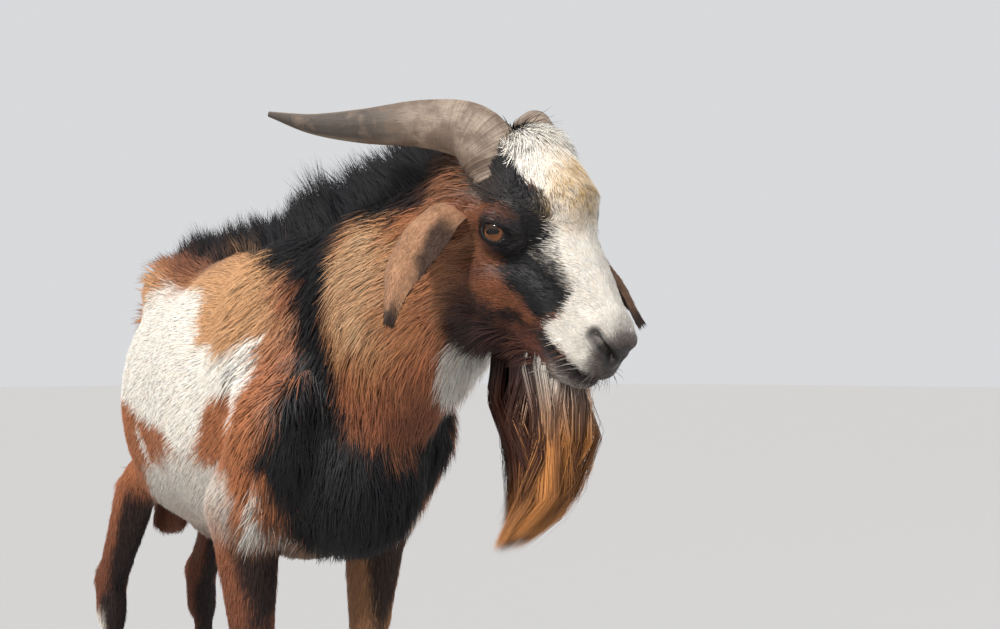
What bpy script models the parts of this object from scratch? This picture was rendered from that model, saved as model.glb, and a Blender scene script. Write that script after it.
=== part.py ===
"""A billy goat standing still at life size, as a museum shows one: about 0.70 m at the withers.

Units are metres. +Z is up, the goat faces -Y and its left side is at +X. The flesh is one smooth
shape: stretched balls hung on a skeleton of named points, blended together and grown by the depth
of the coat. Thin flat cuts part it into head, neck, trunk, tail, scrotum and legs. Horns, ears,
eyes and beard are swept shapes seated in it, and each foot stands on two claws with flat soles.
"""

import math
from dataclasses import dataclass, replace
from functools import partial

import bmesh
import bpy
import numpy as np
from mathutils import Matrix, Vector

# Gaps between neighbouring solids and round seated ones, and how finely the flesh is made
GAP = 0.0003
SEAT_GAP = 0.0006
BODY_VOXEL = 0.0085
BODY_TRIANGLES = 3780
HEAD_COARSENESS = 0.30
LEG_COARSENESS = 0.42
TRUNK_COARSENESS = 0.60
SETTLING_STEPS = 5

# How softly neighbouring forms run into each other
SOFT = 0.030
FIRM = 0.016
TIGHT = 0.009

# Depth of the coat from the skin to the tips of the hair
COAT_MUZZLE = 0.002
COAT_FACE = 0.004
COAT_FOREHEAD = 0.011
COAT_NECK = 0.018
COAT_CHEST = 0.018
COAT_TRUNK = 0.011
COAT_LEG = 0.0035
COAT_LID = 0.002
COAT_MANE = 0.012
COAT_TOPLINE = 0.010
COAT_TAIL_ROOT = 0.012
COAT_TAIL_END = 0.016
MANE_HEIGHT = 0.050
TOPLINE_HEIGHT = 0.030

# Trunk: places along the body, and how far its rear swings to the left for each metre behind the chest
SWAY = 0.070
CHEST = Vector((0, -0.215, 0.545))
GIRTH = Vector((0, -0.060, 0.530))
FLANK = Vector((0, 0.090, 0.520))
LOIN = Vector((0, 0.150, 0.570))
WITHERS = Vector((0, -0.150, 0.650))
RUMP = Vector((0, 0.188, 0.592))

# Head: the point midway between the eyes, and how far the head is turned left and lowered
HEAD_AT = Vector((0.055, -0.502, 0.690))
HEAD_TURN = math.radians(9.0)
HEAD_DROP = math.radians(38.0)
NECK_MIDDLE = Vector((0.016, -0.358, 0.636))
EYE_AT = Vector((0.0455, -0.008, 0.006))
EYE_RADIUS = 0.0145
EYE_OPENING = (0.0125, 0.0082)
EYE_TILT = math.radians(-12)
POCKET_ALLOWANCE = 0.0012
SKULL_TIP = 0.034

# Scrotum: the middle of its neck, between the thighs
SCROTUM_AT = Vector((0.0155, 0.222, 0.425))

# Feet: a claw's share of the height, and its length, width and lean there
HOOF_HEIGHT = 0.038
HOOF_LENGTH = 0.062
CLAW_WIDTH = 0.023
CLEFT = 0.004
CLAW_STEPS = 12
CLAW_LAYERS = ((0, 1.0, 1.0, 0.0), (0.5, 0.88, 0.93, 0.10), (1.0, 0.70, 0.82, 0.18))

# Elbow or stifle, knee or hock, fetlock and foot of each leg: how far out, how far back, how high
LEG_JOINTS = {
    (-1, False): ((0.078, -0.20, 0.43), (0.073, -0.212, 0.25), (0.073, -0.21, 0.095), (0.073, -0.228, 0)),
    (1, False): ((0.072, -0.20, 0.43), (0.060, -0.203, 0.25), (0.060, -0.20, 0.095), (0.060, -0.218, 0)),
    (-1, True): ((0.047, 0.148, 0.42), (0.048, 0.262, 0.268), (0.052, 0.242, 0.095), (0.052, 0.222, 0)),
    (1, True): ((0.078, 0.148, 0.42), (0.074, 0.266, 0.268), (0.070, 0.246, 0.095), (0.070, 0.226, 0)),
}

# Horn: how far out, back and up of its base each point of the middle line is, and its half sizes
HORN_BASE = (0.030, 0.054, 0.038)
HORN_LINE = (
    (-0.002, -0.010, -0.018),
    (0.000, 0.000, 0.008),
    (0.010, 0.018, 0.027),
    (0.034, 0.052, 0.034),
    (0.066, 0.093, 0.033),
    (0.094, 0.131, 0.036),
    (0.118, 0.164, 0.046),
)
HORN_RINGS = 15
HORN_AROUND = 12
HORN_SIZE = (0.0210, 0.0285)
HORN_TIP = 0.0025
HORN_KEEL = 0.22
HORN_TWIST = math.radians(30)

# Ear: how far out, back and up of its base each point of the middle line is, and its half widths
EAR_BASE = (0.050, 0.044, -0.008)
EAR_LINE = (
    (-0.006, 0.000, 0.001),
    (0.012, 0.000, -0.002),
    (0.042, -0.004, -0.020),
    (0.080, -0.018, -0.058),
    (0.106, -0.034, -0.100),
)
EAR_RINGS = 11
EAR_AROUND = 12
EAR_ROOT_WIDTH = 0.0115
EAR_SWELL = 0.0130
EAR_THICKNESS = 0.0032
EAR_ROOT_THICKNESS = 0.008
EAR_CUP = 0.55

# Beard: how far left, back and up of the chin each point of the middle line is, and its half sizes
BEARD_BASE = (0, -0.076, -0.058)
BEARD_LINE = (
    (0.002, 0.008, 0.020),
    (0.004, 0.016, -0.020),
    (0.010, 0.018, -0.065),
    (0.010, 0.014, -0.110),
    (-0.004, 0.021, -0.152),
    (-0.028, 0.038, -0.186),
)
BEARD_RINGS = 13
BEARD_AROUND = 16
BEARD_LOCKS = 5
BEARD_LOCK_DEPTH = 0.08
BEARD_SIZE = (0.0490, 0.0265)
BEARD_TIP = 0.0035

UP = Vector((0, 0, 1))
FORWARD = Vector((0, -1, 0))
SIDES = {"right": -1, "left": 1}

COLOURS = {
    "head": (0.16, 0.06, 0.03),
    "neck": (0.36, 0.18, 0.09),
    "trunk": (0.55, 0.48, 0.42),
    "tail": (0.06, 0.04, 0.03),
    "scrotum": (0.20, 0.11, 0.07),
    "leg_front": (0.22, 0.07, 0.03),
    "leg_hind": (0.10, 0.05, 0.03),
    "ear": (0.38, 0.24, 0.15),
    "beard": (0.55, 0.26, 0.09),
    "horn": (0.22, 0.19, 0.16),
    "eye": (0.45, 0.20, 0.03),
    "hoof": (0.06, 0.05, 0.045),
}


@dataclass
class Form:
    """A stretched ball swept straight from start to end.

    Args:
        start, end: centres of the two ends.
        start_size, end_size: half width and half depth at each end.
        coat: how much the hair adds all round.
        blend: how softly the form runs into its neighbours.
        up: the way the depth is measured.
        tip: how far the round ends reach past start and end; the smaller half size by default.
    """

    start: Vector
    end: Vector
    start_size: tuple
    end_size: tuple
    coat: float = COAT_TRUNK
    blend: float = SOFT
    up: Vector = UP
    tip: float = 0.0

    def axes(self):
        """Return the form's axes across, up and along, and its length."""
        span = self.end - self.start
        along = span.normalized()
        across = self.up.cross(along).normalized()
        return across, along.cross(across), along, span.length

    def tips(self):
        """Return how far the round ends reach past start and end."""
        return (self.tip or min(self.start_size), self.tip or min(self.end_size))

    def moved(self, matrix):
        """Return the form carried into another frame."""
        turn = matrix.to_3x3()
        return replace(self, start=matrix @ self.start, end=matrix @ self.end, up=turn @ self.up)

    def mirrored(self):
        """Return the same form on the other side of the body."""
        flip = Vector((-1, 1, 1))
        return replace(self, start=self.start * flip, end=self.end * flip, up=self.up * flip)

    def distance(self, points):
        """Return roughly how far each point is outside the coat of this form."""
        across, upward, along, length = (np.array(a) for a in self.axes())
        offset = points - np.array(self.start)
        reach = offset @ along
        share = np.clip(reach / length, 0.0, 1.0)
        sizes = []
        for first, last in zip((*self.start_size, self.tips()[0]), (*self.end_size, self.tips()[1])):
            sizes.append(first + (last - first) * share + self.coat)
        local = (offset @ across, offset @ upward, reach - share * length)
        near = np.sqrt(sum((p / s) ** 2 for p, s in zip(local, sizes)))
        slope = np.sqrt(sum((p / s**2) ** 2 for p, s in zip(local, sizes))) + 1e-9
        return near * (near - 1.0) / slope


def pair(form):
    """Return a form and its mirror image."""
    return [form, form.mirrored()]


def swung(point):
    """Return a point of the rear moved left by as much as the body swings there."""
    return point + Vector((SWAY * max(point.y - CHEST.y, 0.0), 0, 0))


def swayed(form):
    """Return a form of the trunk moved with the swing of the body."""
    return replace(form, start=swung(form.start), end=swung(form.end))


def trunk_forms():
    """Return the forms of the chest, barrel, loin, rump, shoulders and thighs."""
    v = Vector
    behind = WITHERS + FORWARD * -0.07
    forms = [
        Form(CHEST, GIRTH, (0.080, 0.135), (0.110, 0.150)),
        Form(GIRTH, FLANK, (0.110, 0.150), (0.112, 0.148)),
        Form(FLANK + UP * 0.026, LOIN, (0.088, 0.118), (0.068, 0.098)),
        Form(RUMP + v((0, -0.06, 0.012)), RUMP, (0.058, 0.078), (0.040, 0.060)),
        Form(WITHERS + FORWARD * 0.075, behind, (0.032, 0.045), (0.038, 0.030)),
        Form(behind, LOIN + UP * 0.090, (0.042, 0.025), (0.042, 0.024)),
        Form(v((0, -0.290, 0.476)), v((0, -0.180, 0.440)), (0.060, 0.078), (0.074, 0.070), COAT_CHEST),
    ]
    hip = Form(v((0.052, 0.115, 0.650)), v((0.052, 0.138, 0.650)), (0.023, 0.023), (0.023, 0.023))
    pin = Form(v((0.028, 0.208, 0.614)), v((0.028, 0.222, 0.610)), (0.021, 0.021), (0.020, 0.020))
    limbs = (
        (v((0.030, -0.155, 0.640)), v((0.074, -0.270, 0.520)), (0.026, 0.060), (0.030, 0.055)),
        (v((0.074, -0.268, 0.510)), v((0.078, -0.200, 0.430)), (0.030, 0.050), (0.030, 0.050)),
        (v((0.036, 0.140, 0.560)), v((0.052, 0.146, 0.436)), (0.032, 0.076), (0.025, 0.050)),
        (v((0.026, 0.190, 0.565)), v((0.042, 0.202, 0.440)), (0.028, 0.045), (0.022, 0.040)),
    )
    for twin in (hip, pin, *(Form(*limb, up=FORWARD) for limb in limbs)):
        forms += pair(twin)
    return [swayed(form) for form in forms]


def coat_forms():
    """Return the standing hair of the mane and the back, which has no flesh under it."""
    poll = head_frame() @ Vector((0, 0.085, 0.022))
    middle = (WITHERS + poll) / 2 + UP * 0.010
    low = WITHERS + Vector((0, -0.05, 0.000))
    crest = [
        Form(low, middle, (0.014, MANE_HEIGHT * 0.8), (0.014, MANE_HEIGHT), COAT_MANE),
        Form(middle, poll, (0.014, MANE_HEIGHT), (0.014, MANE_HEIGHT * 0.45), COAT_MANE),
    ]
    croup = swung(LOIN) + UP * 0.085
    dock = swung(RUMP) + Vector((0, 0.030, 0.056))
    low_hair = (0.018, TOPLINE_HEIGHT * 0.8)
    topline = [
        Form(WITHERS + Vector((0, -0.06, 0.010)), croup, (0.018, TOPLINE_HEIGHT), low_hair, COAT_TOPLINE),
        Form(croup, dock, low_hair, (0.016, TOPLINE_HEIGHT * 0.4), COAT_TOPLINE),
    ]
    return [*crest, *topline]


def leg_forms(side, hind):
    """Return the forms of one leg, from the elbow or stifle down to the foot.

    Args:
        side: -1 for the right leg, 1 for the left.
        hind: whether this is a hind leg.
    """
    v = Vector
    top, knee, fetlock, foot = (v((side * x, y, z)) for x, y, z in LEG_JOINTS[(side, hind)])
    if hind:
        cannon = (0.0105, 0.0140)
        stifle = top + v((0, 0.014, 0))
        forms = [
            Form(stifle, knee + v((0, -0.012, 0.030)), (0.017, 0.032), (0.0125, 0.0165), blend=FIRM),
            Form(top + v((0, 0.055, -0.010)), knee + v((0, 0.015, 0.020)), (0.010, 0.016), (0.006, 0.008)),
            Form(knee + UP * 0.020, knee - UP * 0.025, (0.0135, 0.0185), (0.012, 0.0165), blend=TIGHT),
            Form(knee + v((0, 0.015, 0.022)), knee + v((0, 0.010, -0.02)), (0.008, 0.009), (0.007, 0.008)),
        ]
    else:
        cannon = (0.0122, 0.0145)
        forms = [
            Form(top, knee + UP * 0.030, (0.032, 0.046), (0.0175, 0.0205), blend=FIRM),
            Form(knee + UP * 0.022, knee - UP * 0.020, (0.0195, 0.0215), (0.016, 0.019), blend=TIGHT),
        ]
    forms += [
        Form(knee, fetlock, cannon, (0.0110, 0.0135), blend=TIGHT),
        Form(fetlock + UP * 0.008, fetlock - UP * 0.004, (0.0165, 0.019), (0.0165, 0.019), blend=TIGHT),
        Form(fetlock, foot + v((0, 0.004, 0.045)), (0.014, 0.0165), (0.018, 0.021), blend=TIGHT),
        Form(foot + UP * 0.045, foot + UP * 0.020, (0.018, 0.022), (0.0215, 0.0255), blend=TIGHT),
    ]
    return [replace(form, coat=COAT_LEG, up=FORWARD) for form in forms]


def head_frame():
    """Return the head's frame: x to the goat's left, y back along the face, z up through the crown."""
    level = Vector((math.sin(HEAD_TURN), -math.cos(HEAD_TURN), 0))
    forward = level * math.cos(HEAD_DROP) - UP * math.sin(HEAD_DROP)
    left = Vector((math.cos(HEAD_TURN), math.sin(HEAD_TURN), 0))
    crown = left.cross(-forward)
    frame = Matrix((left, -forward, crown)).transposed().to_4x4()
    frame.translation = HEAD_AT
    return frame


def level_frame(point):
    """Return a frame at a point of the head, turned with it but level with the ground."""
    place = Matrix.Translation(head_frame() @ Vector(point))
    return place @ Matrix.Rotation(HEAD_TURN, 4, "Z")


def head_forms():
    """Return the forms of the skull, face, muzzle and jaw."""
    v = Vector
    skull, dome = ((0.048, 0.050), (0.050, 0.042)), ((0.040, 0.037), (0.036, 0.036))
    rows = (
        (v((0, 0.050, 0.005)), v((0, -0.002, 0.006)), *skull, COAT_FACE, FIRM, UP, SKULL_TIP),
        (v((0, 0.036, 0.045)), v((0, -0.012, 0.037)), *dome, COAT_FOREHEAD, FIRM, UP, SKULL_TIP),
        (v((0, -0.020, 0.028)), v((0, -0.120, -0.004)), (0.031, 0.024), (0.019, 0.017), COAT_FACE, FIRM),
        (v((0, -0.010, -0.030)), v((0, -0.118, -0.028)), (0.042, 0.045), (0.025, 0.026), COAT_FACE, FIRM),
        (v((0, -0.124, -0.014)), v((0, -0.135, -0.017)), (0.021, 0.020), (0.018, 0.018), COAT_MUZZLE, TIGHT),
        (v((0, -0.106, -0.039)), v((0, -0.134, -0.038)), (0.025, 0.014), (0.020, 0.013), COAT_MUZZLE, TIGHT),
        (v((0, -0.020, -0.070)), v((0, -0.116, -0.060)), (0.028, 0.022), (0.017, 0.010), COAT_FACE, FIRM),
        (v((0, -0.106, -0.062)), v((0, -0.127, -0.058)), (0.017, 0.011), (0.015, 0.009), COAT_MUZZLE, TIGHT),
    )
    forms = [Form(*row) for row in rows]
    socket, nostril, ear_root = (0.019, 0.019), (0.0085, 0.009), (0.014, 0.016)
    jowl = ((0.018, 0.036), (0.012, 0.024))
    twins = (
        (v((0.041, -0.004, 0.008)), v((0.041, -0.009, 0.006)), socket, socket, COAT_LID, TIGHT, UP, 0.02),
        (v((0.014, -0.130, -0.008)), v((0.013, -0.138, -0.011)), nostril, nostril, COAT_MUZZLE, TIGHT),
        (v((0.034, -0.012, -0.045)), v((0.030, -0.030, -0.078)), *jowl, COAT_FACE, FIRM, FORWARD),
        (v((0.045, 0.035, -0.005)), v((0.052, 0.035, -0.014)), ear_root, ear_root, COAT_FACE, FIRM),
    )
    for twin in twins:
        forms += pair(Form(*twin))
    return [form.moved(head_frame()) for form in forms]


def neck_forms():
    """Return the forms of the neck, from the shoulders to behind the jaw."""
    head = head_frame()
    nape = head @ Vector((0, 0.050, -0.015))
    throat = head @ Vector((0, 0.030, -0.050))
    poll = head @ Vector((0, 0.075, 0.020))
    return [
        Form(Vector((0, -0.200, 0.580)), NECK_MIDDLE, (0.072, 0.105), (0.052, 0.085), COAT_NECK),
        Form(NECK_MIDDLE, nape, (0.052, 0.085), (0.044, 0.058), COAT_NECK),
        Form(Vector((0.006, -0.264, 0.502)), throat, (0.053, 0.059), (0.038, 0.040), COAT_NECK),
        Form(Vector((0, -0.200, 0.655)), poll, (0.022, 0.025), (0.022, 0.025), COAT_NECK),
    ]


def tail_forms():
    """Return the short tail, held out and slightly down."""
    root = swung(Vector((0, 0.205, 0.640)))
    middle = swung(Vector((0, 0.260, 0.642)))
    end = swung(Vector((0, 0.305, 0.600)))
    return [
        Form(root, middle, (0.018, 0.016), (0.014, 0.012), COAT_TAIL_ROOT, FIRM),
        Form(middle, end, (0.014, 0.012), (0.008, 0.006), COAT_TAIL_END, FIRM),
    ]


def belly_forms():
    """Return the scrotum and the sheath."""
    v = Vector
    pouch = Form(v((0.005, 0, 0)), v((0.007, 0.008, -0.062)), (0.010, 0.018), (0.0125, 0.021))
    sheath = Form(v((0.01, 0.100, 0.382)), v((0.01, 0.040, 0.370)), (0.018, 0.016), (0.014, 0.013))
    forms = pair(replace(pouch, coat=COAT_LEG, blend=TIGHT, up=FORWARD))
    forms = [form.moved(Matrix.Translation(SCROTUM_AT)) for form in forms]
    forms.append(replace(sheath, coat=COAT_LEG, blend=FIRM))
    return forms


def all_forms():
    """Return every form of the flesh, in the order in which they are blended."""
    forms = trunk_forms() + neck_forms() + head_forms() + tail_forms() + belly_forms() + coat_forms()
    for hind in (False, True):
        for side in SIDES.values():
            forms += leg_forms(side, hind)
    return forms


def flesh_distance(points, forms):
    """Return roughly how far each point is outside the blended forms."""
    total = forms[0].distance(points)
    for form in forms[1:]:
        other = form.distance(points)
        overlap = np.maximum(form.blend - np.abs(total - other), 0.0) / form.blend
        total = np.minimum(total, other) - overlap**2 * form.blend / 4
    return total


def settle(points, forms):
    """Move points onto the surface of the blended forms, along the way that the distance falls."""
    step = 0.0005
    for _ in range(SETTLING_STEPS):
        here = flesh_distance(points, forms)
        slope = np.empty_like(points)
        for axis in range(3):
            nudge = np.zeros(3)
            nudge[axis] = step
            slope[:, axis] = (flesh_distance(points + nudge, forms) - here) / step
        steep = np.maximum((slope**2).sum(1), 0.2)
        move = -np.clip(here, -0.006, 0.006)[:, None] * slope / steep[:, None]
        points = points + move
    return points


def add_object(name, shape):
    """Add a bmesh to the scene as a named object and free it."""
    mesh = bpy.data.meshes.new(name)
    shape.to_mesh(mesh)
    shape.free()
    made = bpy.data.objects.new(name, mesh)
    bpy.context.collection.objects.link(made)
    return made


def applied(thing):
    """Turn an object's modifiers into mesh and return it."""
    graph = bpy.context.evaluated_depsgraph_get()
    mesh = bpy.data.meshes.new_from_object(thing.evaluated_get(graph))
    thing.modifiers.clear()
    thing.data = mesh
    return thing


def rough_form(shape, form):
    """Add a form to a bmesh as a stretched ball whose two halves sit at its ends."""
    across, upward, along, length = form.axes()
    ball = bmesh.ops.create_icosphere(shape, subdivisions=3, radius=1.0)["verts"]
    for vert in ball:
        at_end = vert.co.z > 0
        sizes = form.end_size if at_end else form.start_size
        tip = form.tips()[at_end]
        place = form.end if at_end else form.start
        wide, deep, far = (size + form.coat for size in (*sizes, tip))
        vert.co = place + across * vert.co.x * wide + upward * vert.co.y * deep + along * vert.co.z * far


def make_flesh():
    """Make the whole flesh as one closed, evenly blended body."""
    forms = all_forms()
    shape = bmesh.new()
    for form in forms:
        rough_form(shape, form)
    flesh = add_object("flesh", shape)
    remesh = flesh.modifiers.new("Remesh", "REMESH")
    remesh.mode = "VOXEL"
    remesh.voxel_size = BODY_VOXEL
    applied(flesh)
    mesh = flesh.data
    points = np.empty(len(mesh.vertices) * 3)
    mesh.vertices.foreach_get("co", points)
    points = settle(points.reshape(-1, 3), forms)
    mesh.vertices.foreach_set("co", points.ravel())
    thin_out(flesh, points)
    return flesh


def thin_out(flesh, points):
    """Reduce the flesh to its share of triangles, keeping more of them on the head and legs."""
    fine = flesh.vertex_groups.new(name="coarse")
    from_head = np.linalg.norm(points - np.array(HEAD_AT), axis=1)
    coarseness = np.clip((from_head - 0.12) / 0.10, HEAD_COARSENESS, TRUNK_COARSENESS)
    coarseness = np.where(points[:, 2] < CHEST.z - 0.16, LEG_COARSENESS, coarseness)
    for index, weight in enumerate(coarseness):
        fine.add([index], float(weight), "REPLACE")
    decimate = flesh.modifiers.new("Decimate", "DECIMATE")
    decimate.ratio = BODY_TRIANGLES / (2 * len(flesh.data.polygons))
    decimate.vertex_group = fine.name
    decimate.use_collapse_triangulate = True
    applied(flesh)


def boolean(thing, tool, operation):
    """Cut an object with a closed tool, or keep only what is inside it."""
    modifier = thing.modifiers.new("Boolean", "BOOLEAN")
    modifier.operation = operation
    modifier.solver = "MANIFOLD"
    modifier.object = tool
    return applied(thing)


def remove(thing):
    """Remove an object that has done its work."""
    bpy.data.objects.remove(thing)


def box_between(name, low, high, turn=None, about=None):
    """Add a box from its low to its high corner, turned about a point."""
    shape = bmesh.new()
    low, high = Vector(low), Vector(high)
    bmesh.ops.create_cube(shape, size=1.0)
    size = high - low
    place = Matrix.Translation((low + high) / 2) @ Matrix.Diagonal((*size, 1.0))
    bmesh.ops.transform(shape, matrix=place, verts=shape.verts)
    if turn is not None:
        pivot = Matrix.Translation(Vector(about))
        bmesh.ops.transform(shape, matrix=pivot @ turn @ pivot.inverted(), verts=shape.verts)
    return add_object(name, shape)


@dataclass
class Region:
    """A box that holds one part of the flesh and nothing else.

    Args:
        low, high: corners of the box before it is turned.
        tilt: angle about the X axis through the pivot.
        turn: angle about the Z axis through the pivot.
        pivot: point that the box is turned about.
    """

    name: str
    low: tuple
    high: tuple
    tilt: float = 0.0
    turn: float = 0.0
    pivot: tuple = (0, 0, 0)

    def box(self, grown=0.0):
        """Add the box, grown all round by a gap."""
        low = Vector(self.low) - Vector((grown,) * 3)
        high = Vector(self.high) + Vector((grown,) * 3)
        rotation = Matrix.Rotation(self.turn, 4, "Z") @ Matrix.Rotation(self.tilt, 4, "X")
        return box_between("box_" + self.name, low, high, rotation, self.pivot)


def regions():
    """Return the region of each part that is cut from the flesh, in cutting order."""
    nape = tuple(HEAD_AT + Vector((-0.012, 0.070, 0.0)))
    shoulder = (0.0, -0.262, 0.580)
    rear = swung(RUMP).x
    cuts = [
        Region("head", (-0.25, nape[1] - 0.35, 0.30), (0.30, nape[1], 1.00), turn=HEAD_TURN, pivot=nape),
        Region("neck", (-0.20, -0.70, 0.30), (0.20, shoulder[1], 0.95), math.radians(-31), pivot=shoulder),
        Region("tail", (rear - 0.05, 0.247, 0.560), (rear + 0.05, 0.40, 0.70)),
        Region("scrotum", (-0.0155, 0.188, 0.330), (0.0465, 0.264, 0.388)),
    ]
    for side, sign in SIDES.items():
        inner, outer = sorted((rear + sign * 0.006, sign * 0.24))
        cuts.append(
            Region(
                f"leg_hind_{side}",
                (inner, 0.04, -0.02),
                (outer, 0.42, 0.485),
                tilt=math.radians(16),
                pivot=(0, 0.20, 0.46),
            )
        )
        inner, outer = sorted((sign * 0.026, sign * 0.20))
        cuts.append(Region(f"leg_front_{side}", (inner, -0.42, -0.02), (outer, -0.13, 0.428)))
    return cuts


def part_flesh(flesh):
    """Cut the flesh into its named parts with a thin gap between them, and return them by name."""
    parts = {}
    rest = flesh
    for region in regions():
        piece = rest.copy()
        piece.data = rest.data.copy()
        piece.name = region.name
        bpy.context.collection.objects.link(piece)
        keep, cut = region.box(), region.box(GAP)
        boolean(piece, keep, "INTERSECT")
        boolean(rest, cut, "DIFFERENCE")
        remove(keep)
        remove(cut)
        parts[region.name] = piece
    rest.name = "trunk"
    parts["trunk"] = rest
    return parts


def smooth_path(points, count):
    """Return evenly counted points on a smooth curve through the given points."""
    points = [Vector(p) for p in points]
    ends = [points[0] * 2 - points[1], *points, points[-1] * 2 - points[-2]]
    path = []
    for place in np.linspace(0, len(points) - 1, count):
        index = min(int(place), len(points) - 2)
        t = place - index
        p0, p1, p2, p3 = ends[index : index + 4]
        bend = (p0 * 2 - p1 * 5 + p2 * 4 - p3) * t**2 + (p1 * 3 - p0 - p2 * 3 + p3) * t**3
        path.append((p1 * 2 + (p2 - p0) * t + bend) / 2)
    return path


def sweep(name, path, wide_axes, section, around=14, grown=0.0):
    """Add a closed body swept along a path.

    Args:
        name: name of the new object.
        path: centres of the rings.
        wide_axes: direction of each ring's width, made square to the path here.
        section: function of (share along, angle) that gives a ring point's (width, depth) offset.
        around: points in each ring.
        grown: extra size all round, for a cutter.
    """
    shape = bmesh.new()
    rings = []
    for index, centre in enumerate(path):
        ahead = path[min(index + 1, len(path) - 1)]
        behind = path[max(index - 1, 0)]
        along = (ahead - behind).normalized()
        wide = wide_axes[index] - along * wide_axes[index].dot(along)
        wide.normalize()
        deep = along.cross(wide)
        share = index / (len(path) - 1)
        ring = []
        for step in range(around):
            angle = 2 * math.pi * step / around
            x, y = section(share, angle)
            ring.append(shape.verts.new(centre + wide * x + deep * y))
        rings.append(ring)
    for first, second in zip(rings, rings[1:]):
        for step in range(around):
            after = (step + 1) % around
            shape.faces.new((first[step], first[after], second[after], second[step]))
    shape.faces.new(list(reversed(rings[0])))
    shape.faces.new(rings[-1])
    bmesh.ops.recalc_face_normals(shape, faces=shape.faces)
    bmesh.ops.triangulate(shape, faces=shape.faces)
    shape.normal_update()
    swollen = [vert.co + vert.normal * grown * vert.calc_shell_factor() for vert in shape.verts]
    for vert, place in zip(shape.verts, swollen):
        vert.co = place
    return add_object(name, shape)


def horn(side, grown=0.0):
    """Add one horn, keeled in front, which sweeps back and out and flattens to its tip."""
    frame = level_frame((side * HORN_BASE[0], HORN_BASE[1], HORN_BASE[2]))
    path = smooth_path([frame @ Vector((side * x, y, z)) for x, y, z in HORN_LINE], HORN_RINGS)
    inward = frame.to_3x3() @ Vector((-side, 0.35, 0.0))
    twist_axis = frame.to_3x3() @ Vector((side * 0.5, 0.8, 0.1))
    wide_axes = []
    for index in range(HORN_RINGS):
        twist = Matrix.Rotation(side * HORN_TWIST * index / HORN_RINGS, 3, twist_axis)
        wide_axes.append(twist @ inward)

    def section(share, angle):
        taper = 1.0 - share**1.5
        width, depth = (size * taper + HORN_TIP for size in HORN_SIZE)
        keel = 1.0 - HORN_KEEL * math.sin(angle) * side * taper
        return width * math.cos(angle) * keel, depth * math.sin(angle)

    return sweep(f"horn_{side_name(side)}", path, wide_axes, section, HORN_AROUND, grown)


def ear(side, grown=0.0):
    """Add one hanging ear, a long cupped leaf with its hollow side inward and a narrow tip."""
    frame = level_frame((side * EAR_BASE[0], EAR_BASE[1], EAR_BASE[2]))
    path = smooth_path([frame @ Vector((side * x, y, z)) for x, y, z in EAR_LINE], EAR_RINGS)
    backward = frame.to_3x3() @ Vector((0, 1, 0.15))

    def section(share, angle):
        width = EAR_ROOT_WIDTH + EAR_SWELL * math.sin(math.pi * share**0.85)
        if share > 0.6:
            width *= math.sqrt(max(1.0 - ((share - 0.6) / 0.42) ** 2, 0.04))
        thick = EAR_THICKNESS + EAR_ROOT_THICKNESS * max(0.0, 1.0 - share * 5)
        cup = EAR_CUP * width * (1.0 - 0.4 * share) * min(1.0, share * 4)
        bow = cup * (0.5 - math.cos(angle) ** 2)
        return width * math.cos(angle), thick * math.sin(angle) + bow * side

    return sweep(f"ear_{side_name(side)}", path, [backward] * EAR_RINGS, section, EAR_AROUND, grown)


def beard(grown=0.0):
    """Add the beard, a full hanging bundle of locks that narrows and curls at its tip."""
    frame = level_frame(BEARD_BASE)
    path = smooth_path([frame @ Vector(point) for point in BEARD_LINE], BEARD_RINGS)
    backward = frame.to_3x3() @ Vector((0, 1, 0))

    def section(share, angle):
        swell = math.sin(math.pi * (share * 0.76 + 0.23)) ** 0.9
        width, depth = (size * swell + BEARD_TIP for size in BEARD_SIZE)
        lock = 1.0 + BEARD_LOCK_DEPTH * math.cos(BEARD_LOCKS * angle + 4 * share) * min(1.0, 3 * share)
        return width * math.cos(angle) * lock, depth * math.sin(angle) * lock

    return sweep("beard", path, [backward] * BEARD_RINGS, section, BEARD_AROUND, grown)


def eye(side, grown=0.0):
    """Add one eyeball, or the coarser ball that cuts its pocket."""
    shape = bmesh.new()
    if grown:
        bmesh.ops.create_icosphere(shape, subdivisions=2, radius=EYE_RADIUS + grown + POCKET_ALLOWANCE)
    else:
        bmesh.ops.create_icosphere(shape, subdivisions=3, radius=EYE_RADIUS)
    place = Matrix.Translation(head_frame() @ (EYE_AT * Vector((side, 1, 1))))
    bmesh.ops.transform(shape, matrix=place, verts=shape.verts)
    return add_object(f"eye_{side_name(side)}", shape)


def eye_opening(side):
    """Add the almond between the lids, a cutter that runs out from the middle of the eye."""
    shape = bmesh.new()
    wide, high = EYE_OPENING
    bmesh.ops.create_cone(shape, cap_ends=True, segments=20, radius1=0.6, radius2=1.3, depth=1.0)
    size = Matrix.Diagonal((wide, high, 0.03, 1.0))
    outward = Matrix.Translation((0, 0, 0.5))
    turn = Matrix.Rotation(side * math.pi / 2, 4, "Y") @ Matrix.Rotation(math.pi / 2, 4, "Z")
    socket = head_frame() @ Matrix.Translation(EYE_AT * Vector((side, 1, 1)))
    place = socket @ Matrix.Rotation(EYE_TILT, 4, "X")
    bmesh.ops.transform(shape, matrix=place @ turn @ size @ outward, verts=shape.verts)
    return add_object("eye_opening", shape)


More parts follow.
